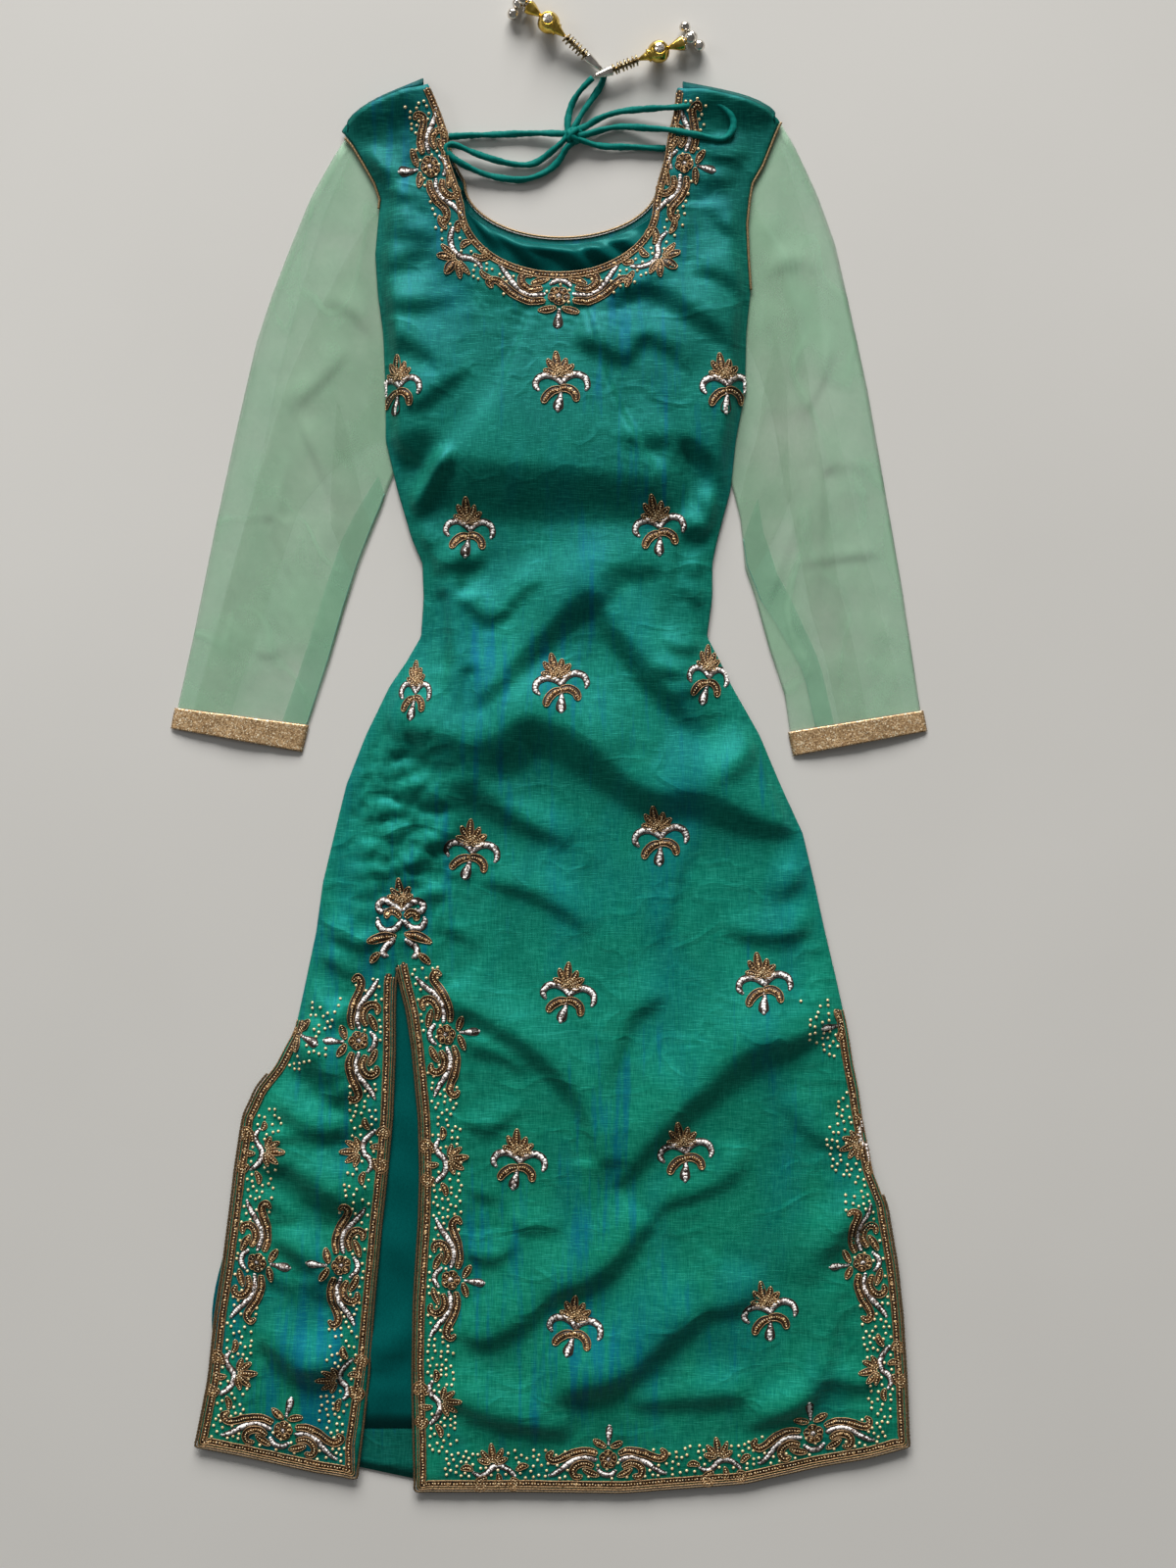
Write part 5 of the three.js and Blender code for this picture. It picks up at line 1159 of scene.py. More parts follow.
R, C, SC = FRONT["rows"], FRONT["columns"], FRONT["sc"]
left_flap = ([(i, 0, 0) for i in range(first_free_row("left", 0, 0), R, 3)]
             + [(R, j, 0) for j in range(0, SC + 1, 2)]
             + [(i, SC, 0) for i in range(R - 2, FRONT["slit_row"], -3)])
right_flap = ([(i, SC, 1) for i in range(FRONT["slit_row"] + 1, R, 3)] + [(R, j, 1) for j in range(SC, C, 3)]
              + [(R, C, 1)] + [(i, C, 1) for i in range(R - 2, first_free_row("right", C, 1), -3)])
back_neck = ([(i, BACK["sc"], 0) for i in range(2, BACK["strap_rows"])]
             + [(BACK["strap_rows"], j, 0) for j in range(BACK["sc"], BACK["ne"] + 1, 2)]
             + [(i, BACK["ne"], 0) for i in range(BACK["strap_rows"] - 1, 1, -1)])
for name, cells in (("left_flap", left_flap), ("right_flap", right_flap)):
    sew_piping(name, beside(edge_line(FRONT, FRONT["z"], cells), -1, PIPING_OFFSET) + (0, 0, 0.4),
               DULL_PIPING)
line = beside(edge_line(BACK, back_z, back_neck), 1, PIPING_OFFSET)
line[:, 2] = 1.6
sew_piping("back_neck", line)
for name, sleeve in SLEEVES.items():
    down = np.linspace(sleeve["tip"] + 1, sleeve["piped_to"], 40)
    sew_piping(f"armhole_{name}", np.stack([body_side(sleeve, down) + sleeve["hand"] * 0.5, -down,
                                            np.full_like(down, 2.6)], axis=1))

# %% [markdown]
# ## Embroidery
# The metalwork is sewn onto the silk: each leaf or scroll is a fine twisted outline filled with overlapping
# sequins, bronze or silver, with a small bead on some. Drawing each one by hand would take thousands of
# points, so a motif is a short list of strokes, a stroke is a centre line with a width, and helpers lay the
# sequins and outline along it.

# %% Stroke and motif tables
# Strokes: finish, width, shape, points. u runs along the edge and v into the cloth, in millimetres.
BUTTA = [
    ("bronze", 4.2, "leaf", [(-1, 4), (-2.6, 11), (-3.2, 19)]),
    ("bronze", 3.6, "leaf", [(-2, 5), (-6.5, 9.5), (-9, 13.5)]),
    ("bronze", 3.6, "leaf", [(-2, 3), (-7, 4.5), (-11.5, 6)]),
    ("bronze", 3.6, "leaf", [(0, 5), (2.5, 9.5), (3.8, 14)]),
    ("bronze", 3.6, "leaf", [(1, 4), (5, 6.5), (9, 9.5)]),
    ("bronze", 3.4, "leaf", [(0, 2), (4.5, 3), (8.5, 4)]),
    ("bronze", 4.0, "leaf", [(-5, 1), (-2, 4), (1, 8)]),
    ("silver", 3.6, "scroll", [(1, -3.4), (-3, 0.4), (-9, 2.4), (-15, 0.4), (-17.2, -4.4), (-15, -8)]),
    ("silver", 3.6, "scroll", [(1, -3.4), (4.5, 0.8), (10.5, 3.2), (16.5, 1), (18.6, -4), (17.6, -7.6)]),
    ("bronze", 4.4, "scroll", [(0, -7.4), (-5, -8.6), (-9.6, -12.4), (-12, -17)]),
    ("bronze", 4.4, "scroll", [(0, -7), (5.5, -7.2), (10, -10.6), (11, -16)]),
    ("silver", 5.4, "drop", [(0.2, -9.6), (-0.4, -14), (-1.4, -18.6), (-1.6, -22)]),
]
LARGE_WING = [
    ("bronze", 4.6, "scroll", [(9.5, 4.6), (18, 6.4), (29, 4), (38, -0.4), (43.6, -1.6), (47, 1.8),
                               (44, 5.6)]),
    ("silver", 3.6, "scroll", [(10, -0.6), (16.5, 1), (23, 0.8), (30, -2.8), (36.5, -8), (41.5, -11.6),
                               (46, -14)]),
    ("bronze", 4.2, "scroll", [(12, -5.8), (18.5, -3.4), (25, -5.2), (28, -10), (25.6, -14.6), (20.6, -14)]),
    ("bronze", 4.2, "leaf", [(20, -8), (14.5, -11), (7.6, -13.6)]),
]
LARGE_HEART = (
    [("bronze", 5.4, "petal", [(2.2 * math.cos(a), 2.2 * math.sin(a)),
                               (7.6 * math.cos(a), 7.6 * math.sin(a))])
     for a in np.radians([18, 90, 162, 234, 306])]
    + [("silver", 4.2, "petal", [(-1.6, 0), (1.6, 0)]),
       ("silver", 3.4, "scroll", [(8.4, -8), (4.4, -12), (-1.6, -12.6), (-6, -9.4)]),
       ("silver", 4.4, "drop", [(0, 11.6), (-0.4, 18), (-0.8, 26)]),
       ("bronze", 4.2, "leaf", [(-2, 9.6), (-7, 11.6), (-12.6, 13.4)]),
       ("bronze", 4.2, "leaf", [(2, 9.6), (7, 12), (12, 15)])])
LARGE = LARGE_HEART + LARGE_WING + [(f, w, s, [(-u, v) for u, v in p]) for f, w, s, p in LARGE_WING]
SMALL = [
    ("bronze", 3.8, "leaf", [(0, 5), (0.4, 12), (1.2, 19)]),
    ("bronze", 3.4, "leaf", [(-1, 5), (-5, 10), (-7.6, 15)]),
    ("bronze", 3.4, "leaf", [(-2, 4), (-7, 6), (-11, 8)]),
    ("bronze", 3.4, "leaf", [(1, 5), (5.4, 9.6), (8.4, 13.6)]),
    ("bronze", 3.4, "leaf", [(2, 4), (7, 5.6), (11, 6.6)]),
    ("silver", 3.6, "scroll", [(-17, -6), (-12, -1), (-5.5, 2), (0.5, 0.6), (4, -3.4), (9.5, -5.8),
                               (14.6, -3.4)]),
    ("bronze", 3.6, "scroll", [(-14, -8.6), (-18.4, -11), (-16.6, -15.4), (-12, -14.4)]),
    ("bronze", 3.8, "scroll", [(5, -7.4), (10, -9.6), (12.6, -14), (9, -16.6), (5.4, -14)]),
    ("bronze", 3.4, "leaf", [(-4, -4), (-5, -9), (-3.4, -14)]),
    ("bronze", 3.6, "leaf", [(-18, -1.4), (-22.6, 1.6), (-27, 2)]),
    ("bronze", 3.6, "leaf", [(15, -1), (19.6, 0.6), (24, -0.6)]),
]
FINIAL = [
    ("bronze", 4.4, "leaf", [(2.4, 47), (0.6, 54), (-0.4, 62.6)]),
    ("bronze", 4.0, "leaf", [(2.4, 47), (-2.4, 51), (-6.2, 54.8)]),
    ("bronze", 4.0, "leaf", [(3, 47), (6, 52), (8, 56.4)]),
    ("bronze", 4.0, "leaf", [(3.4, 45.6), (7.4, 48), (11, 50.2)]),
    ("bronze", 4.0, "leaf", [(1.6, 45.4), (-3.4, 47), (-8, 49)]),
    ("bronze", 4.0, "leaf", [(2.6, 40), (2.8, 44), (3, 49)]),
    ("silver", 4.0, "scroll", [(2.6, 38.6), (-4.4, 42.8), (-11, 45.6), (-15.2, 42), (-13.6, 37.4),
                               (-9.6, 38.6)]),
    ("silver", 4.0, "scroll", [(4.4, 39), (9.4, 44), (15.4, 46.4), (19.2, 42.6), (17.6, 38.2), (13.8, 39.4)]),
    ("bronze", 4.2, "scroll", [(2, 33.4), (-2.2, 37), (-7, 36.8), (-9, 32.6)]),
    ("bronze", 4.2, "scroll", [(5.4, 33.4), (9.4, 37), (13.6, 35.8), (14, 31)]),
    ("silver", 4.0, "scroll", [(3.2, 30.6), (-2, 24.6), (-9, 22.4), (-14, 26), (-15.6, 31.6)]),
    ("silver", 4.0, "scroll", [(5.4, 30), (10.6, 25.2), (16.8, 25.6), (20.4, 29.4), (20.4, 33.4)]),
    ("bronze", 5.6, "leaf", [(-1, 18.8), (-11, 17.6), (-22.6, 14)]),
    ("bronze", 5.6, "leaf", [(5.8, 20.4), (15.6, 19), (26, 14.6)]),
    ("silver", 4.0, "scroll", [(-2.4, 16.4), (-8, 11), (-11, 5.4), (-7.6, 3.4)]),
    ("silver", 4.0, "scroll", [(7, 16), (13.4, 11.6), (15.8, 6), (12.2, 3)]),
    ("bronze", 4.0, "leaf", [(-13.6, 5.4), (-17, 2), (-20, -2)]),
    ("bronze", 4.0, "leaf", [(16.8, 5.6), (21, 2.6), (25.4, -1.6)]),
]
# Where the small repeats of the silk are sewn: x, down, turn in degrees, share of their full width that
# shows.
BUTTAS = [
    (9, 232, 0, 1), (-113, 234, 4, 0.8), (134, 232, -4, 0.95), (-61, 341, 3, 0.9), (83, 339, -6, 0.95),
    (-101, 465, 6, 0.55), (8, 459, -8, 1), (121, 453, 8, 0.75), (-59, 586, 8, 1), (84, 575, -4, 1),
    (15, 695, 10, 1), (163, 687, -4, 1), (-23, 822, 6, 1), (103, 815, -6, 1), (20, 948, 10, 1),
    (167, 937, -8, 1)]

# %% Edges that the borders follow
def neck_edge_line():
    c = FRONT_CURVE
    left = [(read(FRONT_STRAPS, 1, d), d) for d in np.linspace(10, 99, 16)]
    turn = np.linspace(-np.pi / 2, np.pi / 2, 26)
    low = [(c["middle"] + c["half_width"] * math.sin(a), NECK_CORNER + c["drop"] * math.cos(a)) for a in turn]
    right = [(read(FRONT_STRAPS, 2, d), d) for d in np.linspace(99, 12, 16)]
    return np.array(left + low + right)


def flap_line(name):
    def hem(*span):
        return [(x, hem_at(x)) for x in np.linspace(*span)]

    if name == "left":
        return np.array([(side_edges(d)[0], d) for d in np.arange(690, 1040, 8)] + hem(-268, -149, 16)
                        + [(read(SLIT, 1, d), d) for d in np.arange(1060, 676, -8)])
    return np.array([(read(SLIT, 2, d), d) for d in np.arange(677, 1072, 8)] + hem(-100, 273, 48)
                    + [(side_edges(d)[1], d) for d in np.arange(1036, 690, -8)])


def edge_path(line, hand, calm=9):
    """An edge in even steps of 1 mm with the direction into the cloth at each."""
    path = smooth_path(line, 1.0)
    step = np.gradient(path, axis=0)
    window = np.ones(2 * calm + 1) / (2 * calm + 1)
    step = unit(np.stack([np.convolve(np.pad(step[:, k], calm, mode="edge"), window, "valid")
                          for k in (0, 1)], axis=1))
    return path, hand * np.stack([step[:, 1], -step[:, 0]], axis=1)


EDGES = {"neck": edge_path(neck_edge_line(), -1), "left_flap": edge_path(flap_line("left"), 1),
         "right_flap": edge_path(flap_line("right"), 1)}


def edge_frame(name, near, offset):
    """Places motif points (u along the edge, v into the cloth) so that the motif bends with its edge."""
    path, inward = EDGES[name]
    start = int(np.hypot(*(path - np.array(near)).T).argmin())
    sign = 1 if name == "neck" else -1

    def place(points):
        p = np.asarray(points, float)
        at = np.clip(start + sign * p[:, 0], 0, len(path) - 1)
        i = np.clip(at.astype(int), 0, len(path) - 2)
        t = (at - i)[:, None]
        return lerp(path[i], path[i + 1], t) + lerp(inward[i], inward[i + 1], t) * (p[:, 1:] + offset)
    return place


def straight_frame(origin, inward):
    inward = np.array(inward) / np.linalg.norm(inward)
    along = np.array([-inward[1], inward[0]])

    def place(points):
        p = np.asarray(points, float)
        return np.asarray(origin, float) + p[:, :1] * along + p[:, 1:] * inward
    return place


# Border motifs: edge, a place near it, how far in the motif's middle lies, motif, scale.
BORDER_MOTIFS = [
    ("right_flap", (-112, 735), 26, LARGE, 0.97), ("right_flap", (-97, 826), 17, SMALL, 1.0),
    ("right_flap", (-100, 915), 26, LARGE, 0.97), ("right_flap", (-102, 1010), 17, SMALL, 1.0),
    ("right_flap", (-43, 1078), 17, SMALL, 1.0), ("right_flap", (45, 1079), 25, LARGE, 0.97),
    ("right_flap", (131, 1073), 17, SMALL, 1.0), ("right_flap", (206, 1059), 25, LARGE, 0.97),
    ("right_flap", (272, 985), 17, SMALL, 1.0), ("right_flap", (265, 900), 25, LARGE, 0.97),
    ("right_flap", (240, 813), 3, SMALL, 1.0), ("right_flap", (227, 722), -6, LARGE, 0.97),
    ("left_flap", (-119, 735), 26, LARGE, 0.97), ("left_flap", (-123, 822), 17, SMALL, 1.0),
    ("left_flap", (-133, 908), 26, LARGE, 0.97), ("left_flap", (-141, 996), 17, SMALL, 1.0),
    ("left_flap", (-208, 1057), 25, LARGE, 0.97), ("left_flap", (-264, 985), 17, SMALL, 1.0),
    ("left_flap", (-248, 900), 25, LARGE, 0.97), ("left_flap", (-238, 815), 17, SMALL, 1.0),
    ("left_flap", (-196, 728), -4, LARGE, 0.97),
    ("neck", (7.5, 150), 19, LARGE, 0.95), ("neck", (-53, 126), 18, SMALL, 0.95),
    ("neck", (68, 126), 18, SMALL, 0.95), ("neck", (-74, 66), 15.5, LARGE, 0.92),
    ("neck", (87, 64), 15.5, LARGE, 0.92),
]

placed = []
for x, down, turn, wide in BUTTAS:
    a = math.radians(turn)
    narrowed = [(f, w * (0.5 + 0.5 * wide), shape, [(u * wide, v) for u, v in p]) for f, w, shape, p in BUTTA]
    placed.append((narrowed, straight_frame((x, down + 1.5), (math.sin(a), -math.cos(a))), 1.1))
for edge, near, offset, motif, scale in BORDER_MOTIFS:
    placed.append((motif, edge_frame(edge, near, offset), scale))
placed.append((FINIAL, straight_frame((-116.0, 674.0), (0.03, -1.0)), 1.0))
print("motifs:", len(placed))


# %% Laying sequins on the cloth
def on_cloth(places, lift=0.0):
    """Points in metres on the front's outside, and the cloth's normals there."""
    p = np.asarray(places, float)
    x, down = p[:, 0], p[:, 1]
    e = 1.2
    z = front_z(x, down)
    dx = (front_z(x + e, down) - front_z(x - e, down)) / (2 * e)
    dy = -(front_z(x, down + e) - front_z(x, down - e)) / (2 * e)
    normal = unit(np.stack([-dx, -dy, np.ones_like(dx)], axis=1), 0.0)
    return to_metres(x, down, z) + normal * (CLOTH_WALL / 2 + lift * MM), normal


def dome(sides, rings):
    """A unit button: flat below, rounded on top."""
    turn = [2 * math.pi * i / sides for i in range(sides)]
    verts = [(math.cos(a) * math.cos(b), math.cos(a) * math.sin(b), math.sin(a))
             for a in (k / rings * math.pi / 2 for k in range(rings)) for b in turn] + [(0, 0, 1)]
    faces = [(k * sides + i, k * sides + j, (k + 1) * sides + j, (k + 1) * sides + i)
             for k in range(rings - 1) for i, j in ((i, (i + 1) % sides) for i in range(sides))]
    last = (rings - 1) * sides
    faces += [(last + i, last + (i + 1) % sides, len(verts) - 1) for i in range(sides)]
    return np.array(verts), faces + [tuple(range(sides))[::-1]]


SEQUIN, BEAD = dome(8, 1), dome(6, 2)


def stamp(template, points, normals, sizes, heights, tilt, rng):
    """Copies of a small shape on the cloth, each turned and tipped a little."""
    verts, faces = template
    n = len(points)
    lean = unit(normals + rng.normal(0, tilt, (n, 3)), 0.0)
    spin = rng.uniform(0, 2 * np.pi, n)
    a = unit(np.cross(np.stack([np.cos(spin), np.sin(spin), np.zeros(n)], axis=1), lean), 0.0)
    axes, scales = (a, np.cross(lean, a), lean), (sizes, sizes, heights)
    out = points[:, None, :] + sum(axis[:, None, :] * (verts[None, :, k:k + 1] * scale[:, None, None])
                                   for k, (axis, scale) in enumerate(zip(axes, scales)))
    return out.reshape(-1, 3), [tuple(k * len(verts) + v for v in f) for k in range(n) for f in faces]


WIDTHS = {
    "leaf": lambda t: np.sin(np.pi * np.clip(0.06 + 0.88 * t, 0, 1)) ** 0.7,
    "scroll": lambda t: 0.62 + 0.38 * np.sin(np.pi * t) ** 0.5 - 0.25 * smooth(t, 0.9, 1),
    "drop": lambda t: 0.35 + 0.65 * smooth(t, 0.05, 0.75) - 0.5 * smooth(t, 0.86, 1.02),
    "petal": lambda t: np.sqrt(np.clip(1 - (2 * t - 1) ** 2, 0, 1)) * 0.98 + 0.02,
}


def stroke_shape(points, width, shape):
    """A stroke's centre line, both of its edges and half its width."""
    path = smooth_path(points, 1.0)
    if len(path) < 4:
        path = smooth_path(points, np.linalg.norm(path[-1] - path[0]) / 4 + 1e-6)
    t = np.linspace(0, 1, len(path))
    direction = unit(np.gradient(path, axis=0))
    normal = np.stack([-direction[:, 1], direction[:, 0]], axis=1)
    half = (WIDTHS[shape](t) * width / 2)[:, None]
    return path, path + normal * half, path - normal * half, half[:, 0]


def on_the_front(x, down, margin=0.8):
    left, right = side_edges(down)
    return (free_edge_distance(x, down) > margin) & (x - left > margin) & (right - x > margin)


def kept_on(p, margin=0.9):
    """Moves places that have passed a side edge back onto it, as the work goes round the fold there."""
    left, right = side_edges(p[:, 1])
    return np.stack([np.clip(p[:, 0], left + margin, right - margin), p[:, 1]], axis=1)


# How sequins fill a stroke: their size as a share of half its width, the least and the largest.
SEQUIN_SIZES = {"bronze": (0.7, 0.6, 1.7), "silver": (0.92, 1.35, 2.2)}
BROAD, SEQUIN_PITCH, NARROWEST, LEAST_ON_CLOTH = 1.26, 1.9, 0.6, 0.45

stroke_rng = np.random.default_rng(11)
fills = {"bronze": [], "silver": []}
outlines, all_strokes, shade_strips = [], [], []
for motif, place, scale in placed:
    for finish, width, shape, points in motif:
        flat = stroke_shape(np.asarray(points, float) * scale, width * scale * BROAD, shape)
        path, left, right = (place(p) for p in flat[:3])
        if np.mean(on_the_front(path[:, 0], path[:, 1])) < LEAST_ON_CLOTH:
            continue
        path, left, right = kept_on(path), kept_on(left), kept_on(right)
        outlines.append((finish, np.vstack([left, right[::-1]])))
        all_strokes.append(path)
        shade_strips.append((left, right))
        line = smooth_path(path, SEQUIN_PITCH)
        wide = np.interp(np.linspace(0, 1, len(line)), np.linspace(0, 1, len(path)), flat[3])
        share, least, most = SEQUIN_SIZES[finish]
        fills[finish] += [(*p, min(max(w * share, least), most)) for p, w in zip(line, wide) if w > NARROWEST]
print("strokes:", len(outlines), "sequins:", {k: len(v) for k, v in fills.items()})

# %% [markdown]
# ### Border bands
# A band of bronze sequins between two metal threads runs round the neck, the slit and the hem, just inside
# the edge. It is laid with the same helpers, along lines that are the garment's own edges moved in.

# %% Bands and scattered beads
BAND_WIDTH = 4.6


def inside(name, offset, first=0, last=None):
    path, inward = EDGES[name]
    return (path + inward * offset)[first:last]


band_lines, band_centres = [], []
for name, start, first, last in (("neck", 0.6, 0, None), ("left_flap", 2.5, 30, -1),
                                 ("right_flap", 2.5, 1, -20)):
    end = start + BAND_WIDTH
    band_lines += [inside(name, start, first, last), inside(name, end, first, last)]
    shade_strips.append(tuple(band_lines[-2:]))
    if name != "neck":
        band_lines.append(inside(name, 0.7, first, last))
    centre = inside(name, (start + end) / 2, first, last)
    band_centres.append(centre)
    for p in smooth_path(centre[::4], 2.3):
        fills["bronze"].append((p[0] + stroke_rng.normal(0, 0.2), p[1] + stroke_rng.normal(0, 0.2), 1.6))

def distance(places, place):
    return np.hypot(*(places - place).T).min()


beads = np.zeros((0, 2))
strokes_only = np.vstack(all_strokes)[::2]
crowded = np.vstack([strokes_only, np.vstack(band_centres)[::2]])
for name, deep, tries, spacing in (("neck", (8, 25), 1300, 3.6), ("left_flap", (9, 31), 2400, 3.7),
                                   ("right_flap", (9, 31), 4400, 3.7)):
    path, inward = EDGES[name]
    at = stroke_rng.integers(6, len(path) - 6, tries)
    v = stroke_rng.uniform(*deep, tries)
    for q in path[at] + inward[at] * v[:, None]:
        if distance(crowded, q) < 3.3 or (len(beads) and distance(beads, q) < spacing):
            continue
        if distance(strokes_only, q) < 14 and on_the_front(q[:1], q[1:], 8)[0]:
            beads = np.vstack([beads, q])
print("loose beads:", len(beads))


# %% Embroidery meshes
def lay_fill(finish, material, high, tilt, every, bead_material, slot, seed):
    """The sequins of one finish, and a small bead sewn on some of them."""
    rng = np.random.default_rng(seed)
    rows = np.array(fills[finish])
    points, normals = on_cloth(rows[:, :2], 0.2)
    sizes = rows[:, 2] * MM
    name = f"sequins_{finish}"
    lay(name, stamp(SEQUIN, points, normals, sizes, sizes * high + 0.0003, tilt, rng), material, slot,
        flat_faces=finish == "bronze")
    points, normals, sizes = points[::every], normals[::every], sizes[::every]
    lay(name + "_beads", stamp(BEAD, points + normals * sizes[:, None] * high, normals,
                               np.full(len(sizes), 0.00062), np.full(len(sizes), 0.0007), 0.1, rng),
        bead_material, slot)


# Painted shade: a dark sheet under every stroke and band, showing in the gaps between the sequins where shade
# falls.
shade_strip_parts = []
for left, right in shade_strips:
    some = np.unique(np.append(np.arange(0, len(left), 2), len(left) - 1))
    a, b = on_cloth(left[some], 0.1)[0], on_cloth(right[some], 0.1)[0]
    shade_strip_parts.append((np.vstack([a, (a + b) / 2, b]), [(f[0], f[3], f[2], f[1])
                                                          for f in grid_faces(3, len(a))]))
lay("embroidery_painted_shade", join_meshes(shade_strip_parts), DARK_THREAD_AND_SHADE, "gold_cord", wall=0.0003)
lay_fill("bronze", BRONZE_SEQUIN, 0.14, 0.22, 1, GOLD_BEAD, "gold_cord", 5)
lay_fill("silver", SILVER_SEQUIN, 0.09, 0.13, 3, DARK_THREAD_AND_SHADE, "silver_metal", 6)
points, normals = on_cloth(beads, 0.1)
lay("scattered_beads", stamp(dome(8, 3), points, normals, np.full(len(beads), 0.00125),
                             np.full(len(beads), 0.0011), 0.05, stroke_rng), GOLD_BEAD, "gold_cord")

# The outlines are fine cords round each stroke; their dark colour is partly their own and partly painted
# shade, the shadow line along the stroke's edge, near black round the silver strokes.
for name, finish, material, radius, lift in (("motif_outlines", "bronze", METAL_THREAD, 0.0004, 0.5),
                                             ("motif_outlines_silver", "silver", DARK_THREAD_AND_SHADE, 0.0003, 0.3)):
    lay(name, join_meshes([tube_mesh(on_cloth(loop, lift)[0], radius, 5, closed=True)
                           for kind, loop in outlines if kind == finish]), material, "gold_cord")
lay("border_threads", join_meshes([tube_mesh(smooth_path(on_cloth(line, 0.4)[0][::3], 0.0012), 0.00052, 6,
                                             lobes=0.2, twist=1700.0) for line in band_lines]), METAL_THREAD,
    "gold_cord")

# %% [markdown]
# ## Neck cords
# Two rolled-silk cords leave the neck's edges and are tied in a bow. Each one is a single line from its seam
# to its tassel: in along the tie, through the knot, round its loop, back through the knot and out along its
# tail. The same routes are in the solid model.

# %% Cord routes and cords
LOW = 2.7
CORDS = {
    "tie_left": [(-76.4, 45, LOW), (-60, 44, LOW), (-30, 43, LOW), (-5, 42.5, 3.6), (11.2, 43.5, 5)],
    "tie_right": [(26.5, 49, 5), (40, 52.5, 3.6), (65, 53, LOW), (89, 54, LOW)],
    "loop_left": [(14, 52.4, 5), (9, 62, 3.4), (0, 70.5, LOW), (-12, 76, LOW), (-24, 78, LOW),
                  (-47, 74.5, 3.4), (-67, 66.5, 6.8), (-79, 57.5, 8.4), (-77, 52.3, 8.5), (-70, 53, 7.6),
                  (-56, 58.5, 5), (-33, 65, 3), (-15, 66.5, LOW), (-5, 62, 3), (4.5, 54.5, 4),
                  (11, 49.2, 4.8)],
    "loop_right": [(26.4, 39.4, 5), (33, 34.5, 4.6), (43, 29.5, 4.2), (56, 26, 4.5), (73, 25, 6), (88, 25, 9),
                   (97, 25, 10.2), (116, 23, 10.6), (129, 23.5, 10.8), (138, 30, 10.8), (141, 39, 10.8),
                   (137, 47, 10.8), (130, 50, 10.8), (116, 47, 10.6), (96, 42.5, 9.6), (86, 41, 8.4),
                   (76, 39.6, 5.6), (64, 38, 4.2), (52, 37.6, 3.6), (41, 40, 4), (27.2, 44.4, 5)],
    "tail_left": [(14.1, 38, 5.4), (15, 28, 3.6), (19, 17, 3.4), (25.5, 8.5, 5), (33.4, 2, 8.4)],
    "tail_right": [(20, 37.9, 5.4), (25.4, 27, 3.6), (33, 16, 3), (38.8, 7.4, 2.7), (42, 0.4, 2.7),
                   (42.8, -3.4, 2.9), (41.4, -5.4, 3.4)],
}
KNOT = (19.0, 45.0, 5.2)


def rolled_cord(name, route, nodes):
    """A cord along its route, with the line of its middle and its length."""
    path = smooth_path(to_metres(*np.array(route, float).T), 0.0016)
    for _ in range(10):  # rolled silk has no sharp turns
        path[1:-1] = 0.25 * path[:-2] + 0.5 * path[1:-1] + 0.25 * path[2:]
    along = running_length(path)
    radius = 0.0024 * (1 + 0.05 * np.sin(along * 420) + 0.04 * np.sin(along * 1130 + 1))
    made = lay(name, tube_mesh(path, radius, 12, lobes=0.13, twist=75.0, flat=0.9), CORD_CLOTH, "tie_cloth",
               *nodes)
    return made, path, float(along[-1])


left_route = (CORDS["tie_left"] + [(18, 43.4, 5), (22, 46.8, 5.2), (19.6, 51, 5.2)] + CORDS["loop_left"]
              + [(14.4, 44.4, 5.6)] + CORDS["tail_left"])
right_route = (CORDS["tie_right"][::-1] + [(20.4, 47.2, 5), (17.2, 43.6, 5.2), (20.4, 39.8, 5.2)]
               + CORDS["loop_right"] + [(20.6, 45.2, 6), (16.6, 42.4, 6.2)] + CORDS["tail_right"])
cords = [rolled_cord(f"neck_cord_{name}", route, [f"{part}_{name}" for part in ("tie", "loop", "tail")])
         for name, route in (("left", left_route), ("right", right_route))]

# %% [markdown]
# ### The knot
# The bow's knot is the cord wrapped once round the crossing and tucked in. Three short turns of the same
# cord give its outline and its shadows.

# %% Knot
def knot_turn(angle, tilt, a, b, drop=0.0):
    """An oval turn of cord, tipped out of the flat by tilt and turned by angle."""
    s = np.linspace(0, 2 * math.pi, 40)
    x, y, z = a * np.cos(s), b * np.sin(s) * math.cos(tilt), b * np.sin(s) * math.sin(tilt)
    c, d = math.cos(angle), math.sin(angle)
    return to_metres(KNOT[0] + x * c - y * d, KNOT[1] - x * d - y * c, np.maximum(KNOT[2] + z + drop, 2.4))


KNOT_TURNS = (knot_turn(0.9, 1.25, 5.2, 4.2), knot_turn(2.3, 1.1, 4.8, 4.0),
              knot_turn(0.2, 0.35, 5.6, 4.6, -0.4))
knot = lay("bow_knot", join_meshes([tube_mesh(smooth_path(turn, 0.0012), 0.0021, 10, lobes=0.08, twist=90.0)
                                    for turn in KNOT_TURNS]), CORD_CLOTH, "tie_cloth", "tie_knot")

# %% [markdown]
# ## Tassels
# Each cord ends in a small bead tassel: a silver cone, a stack of thin brass discs, a gilt bead set with a
# crystal, a gilt cap with a ring of pearls in its mouth, and a bunch of silver balls. They are turned shapes,
# so each is a profile spun round the tassel's own line.

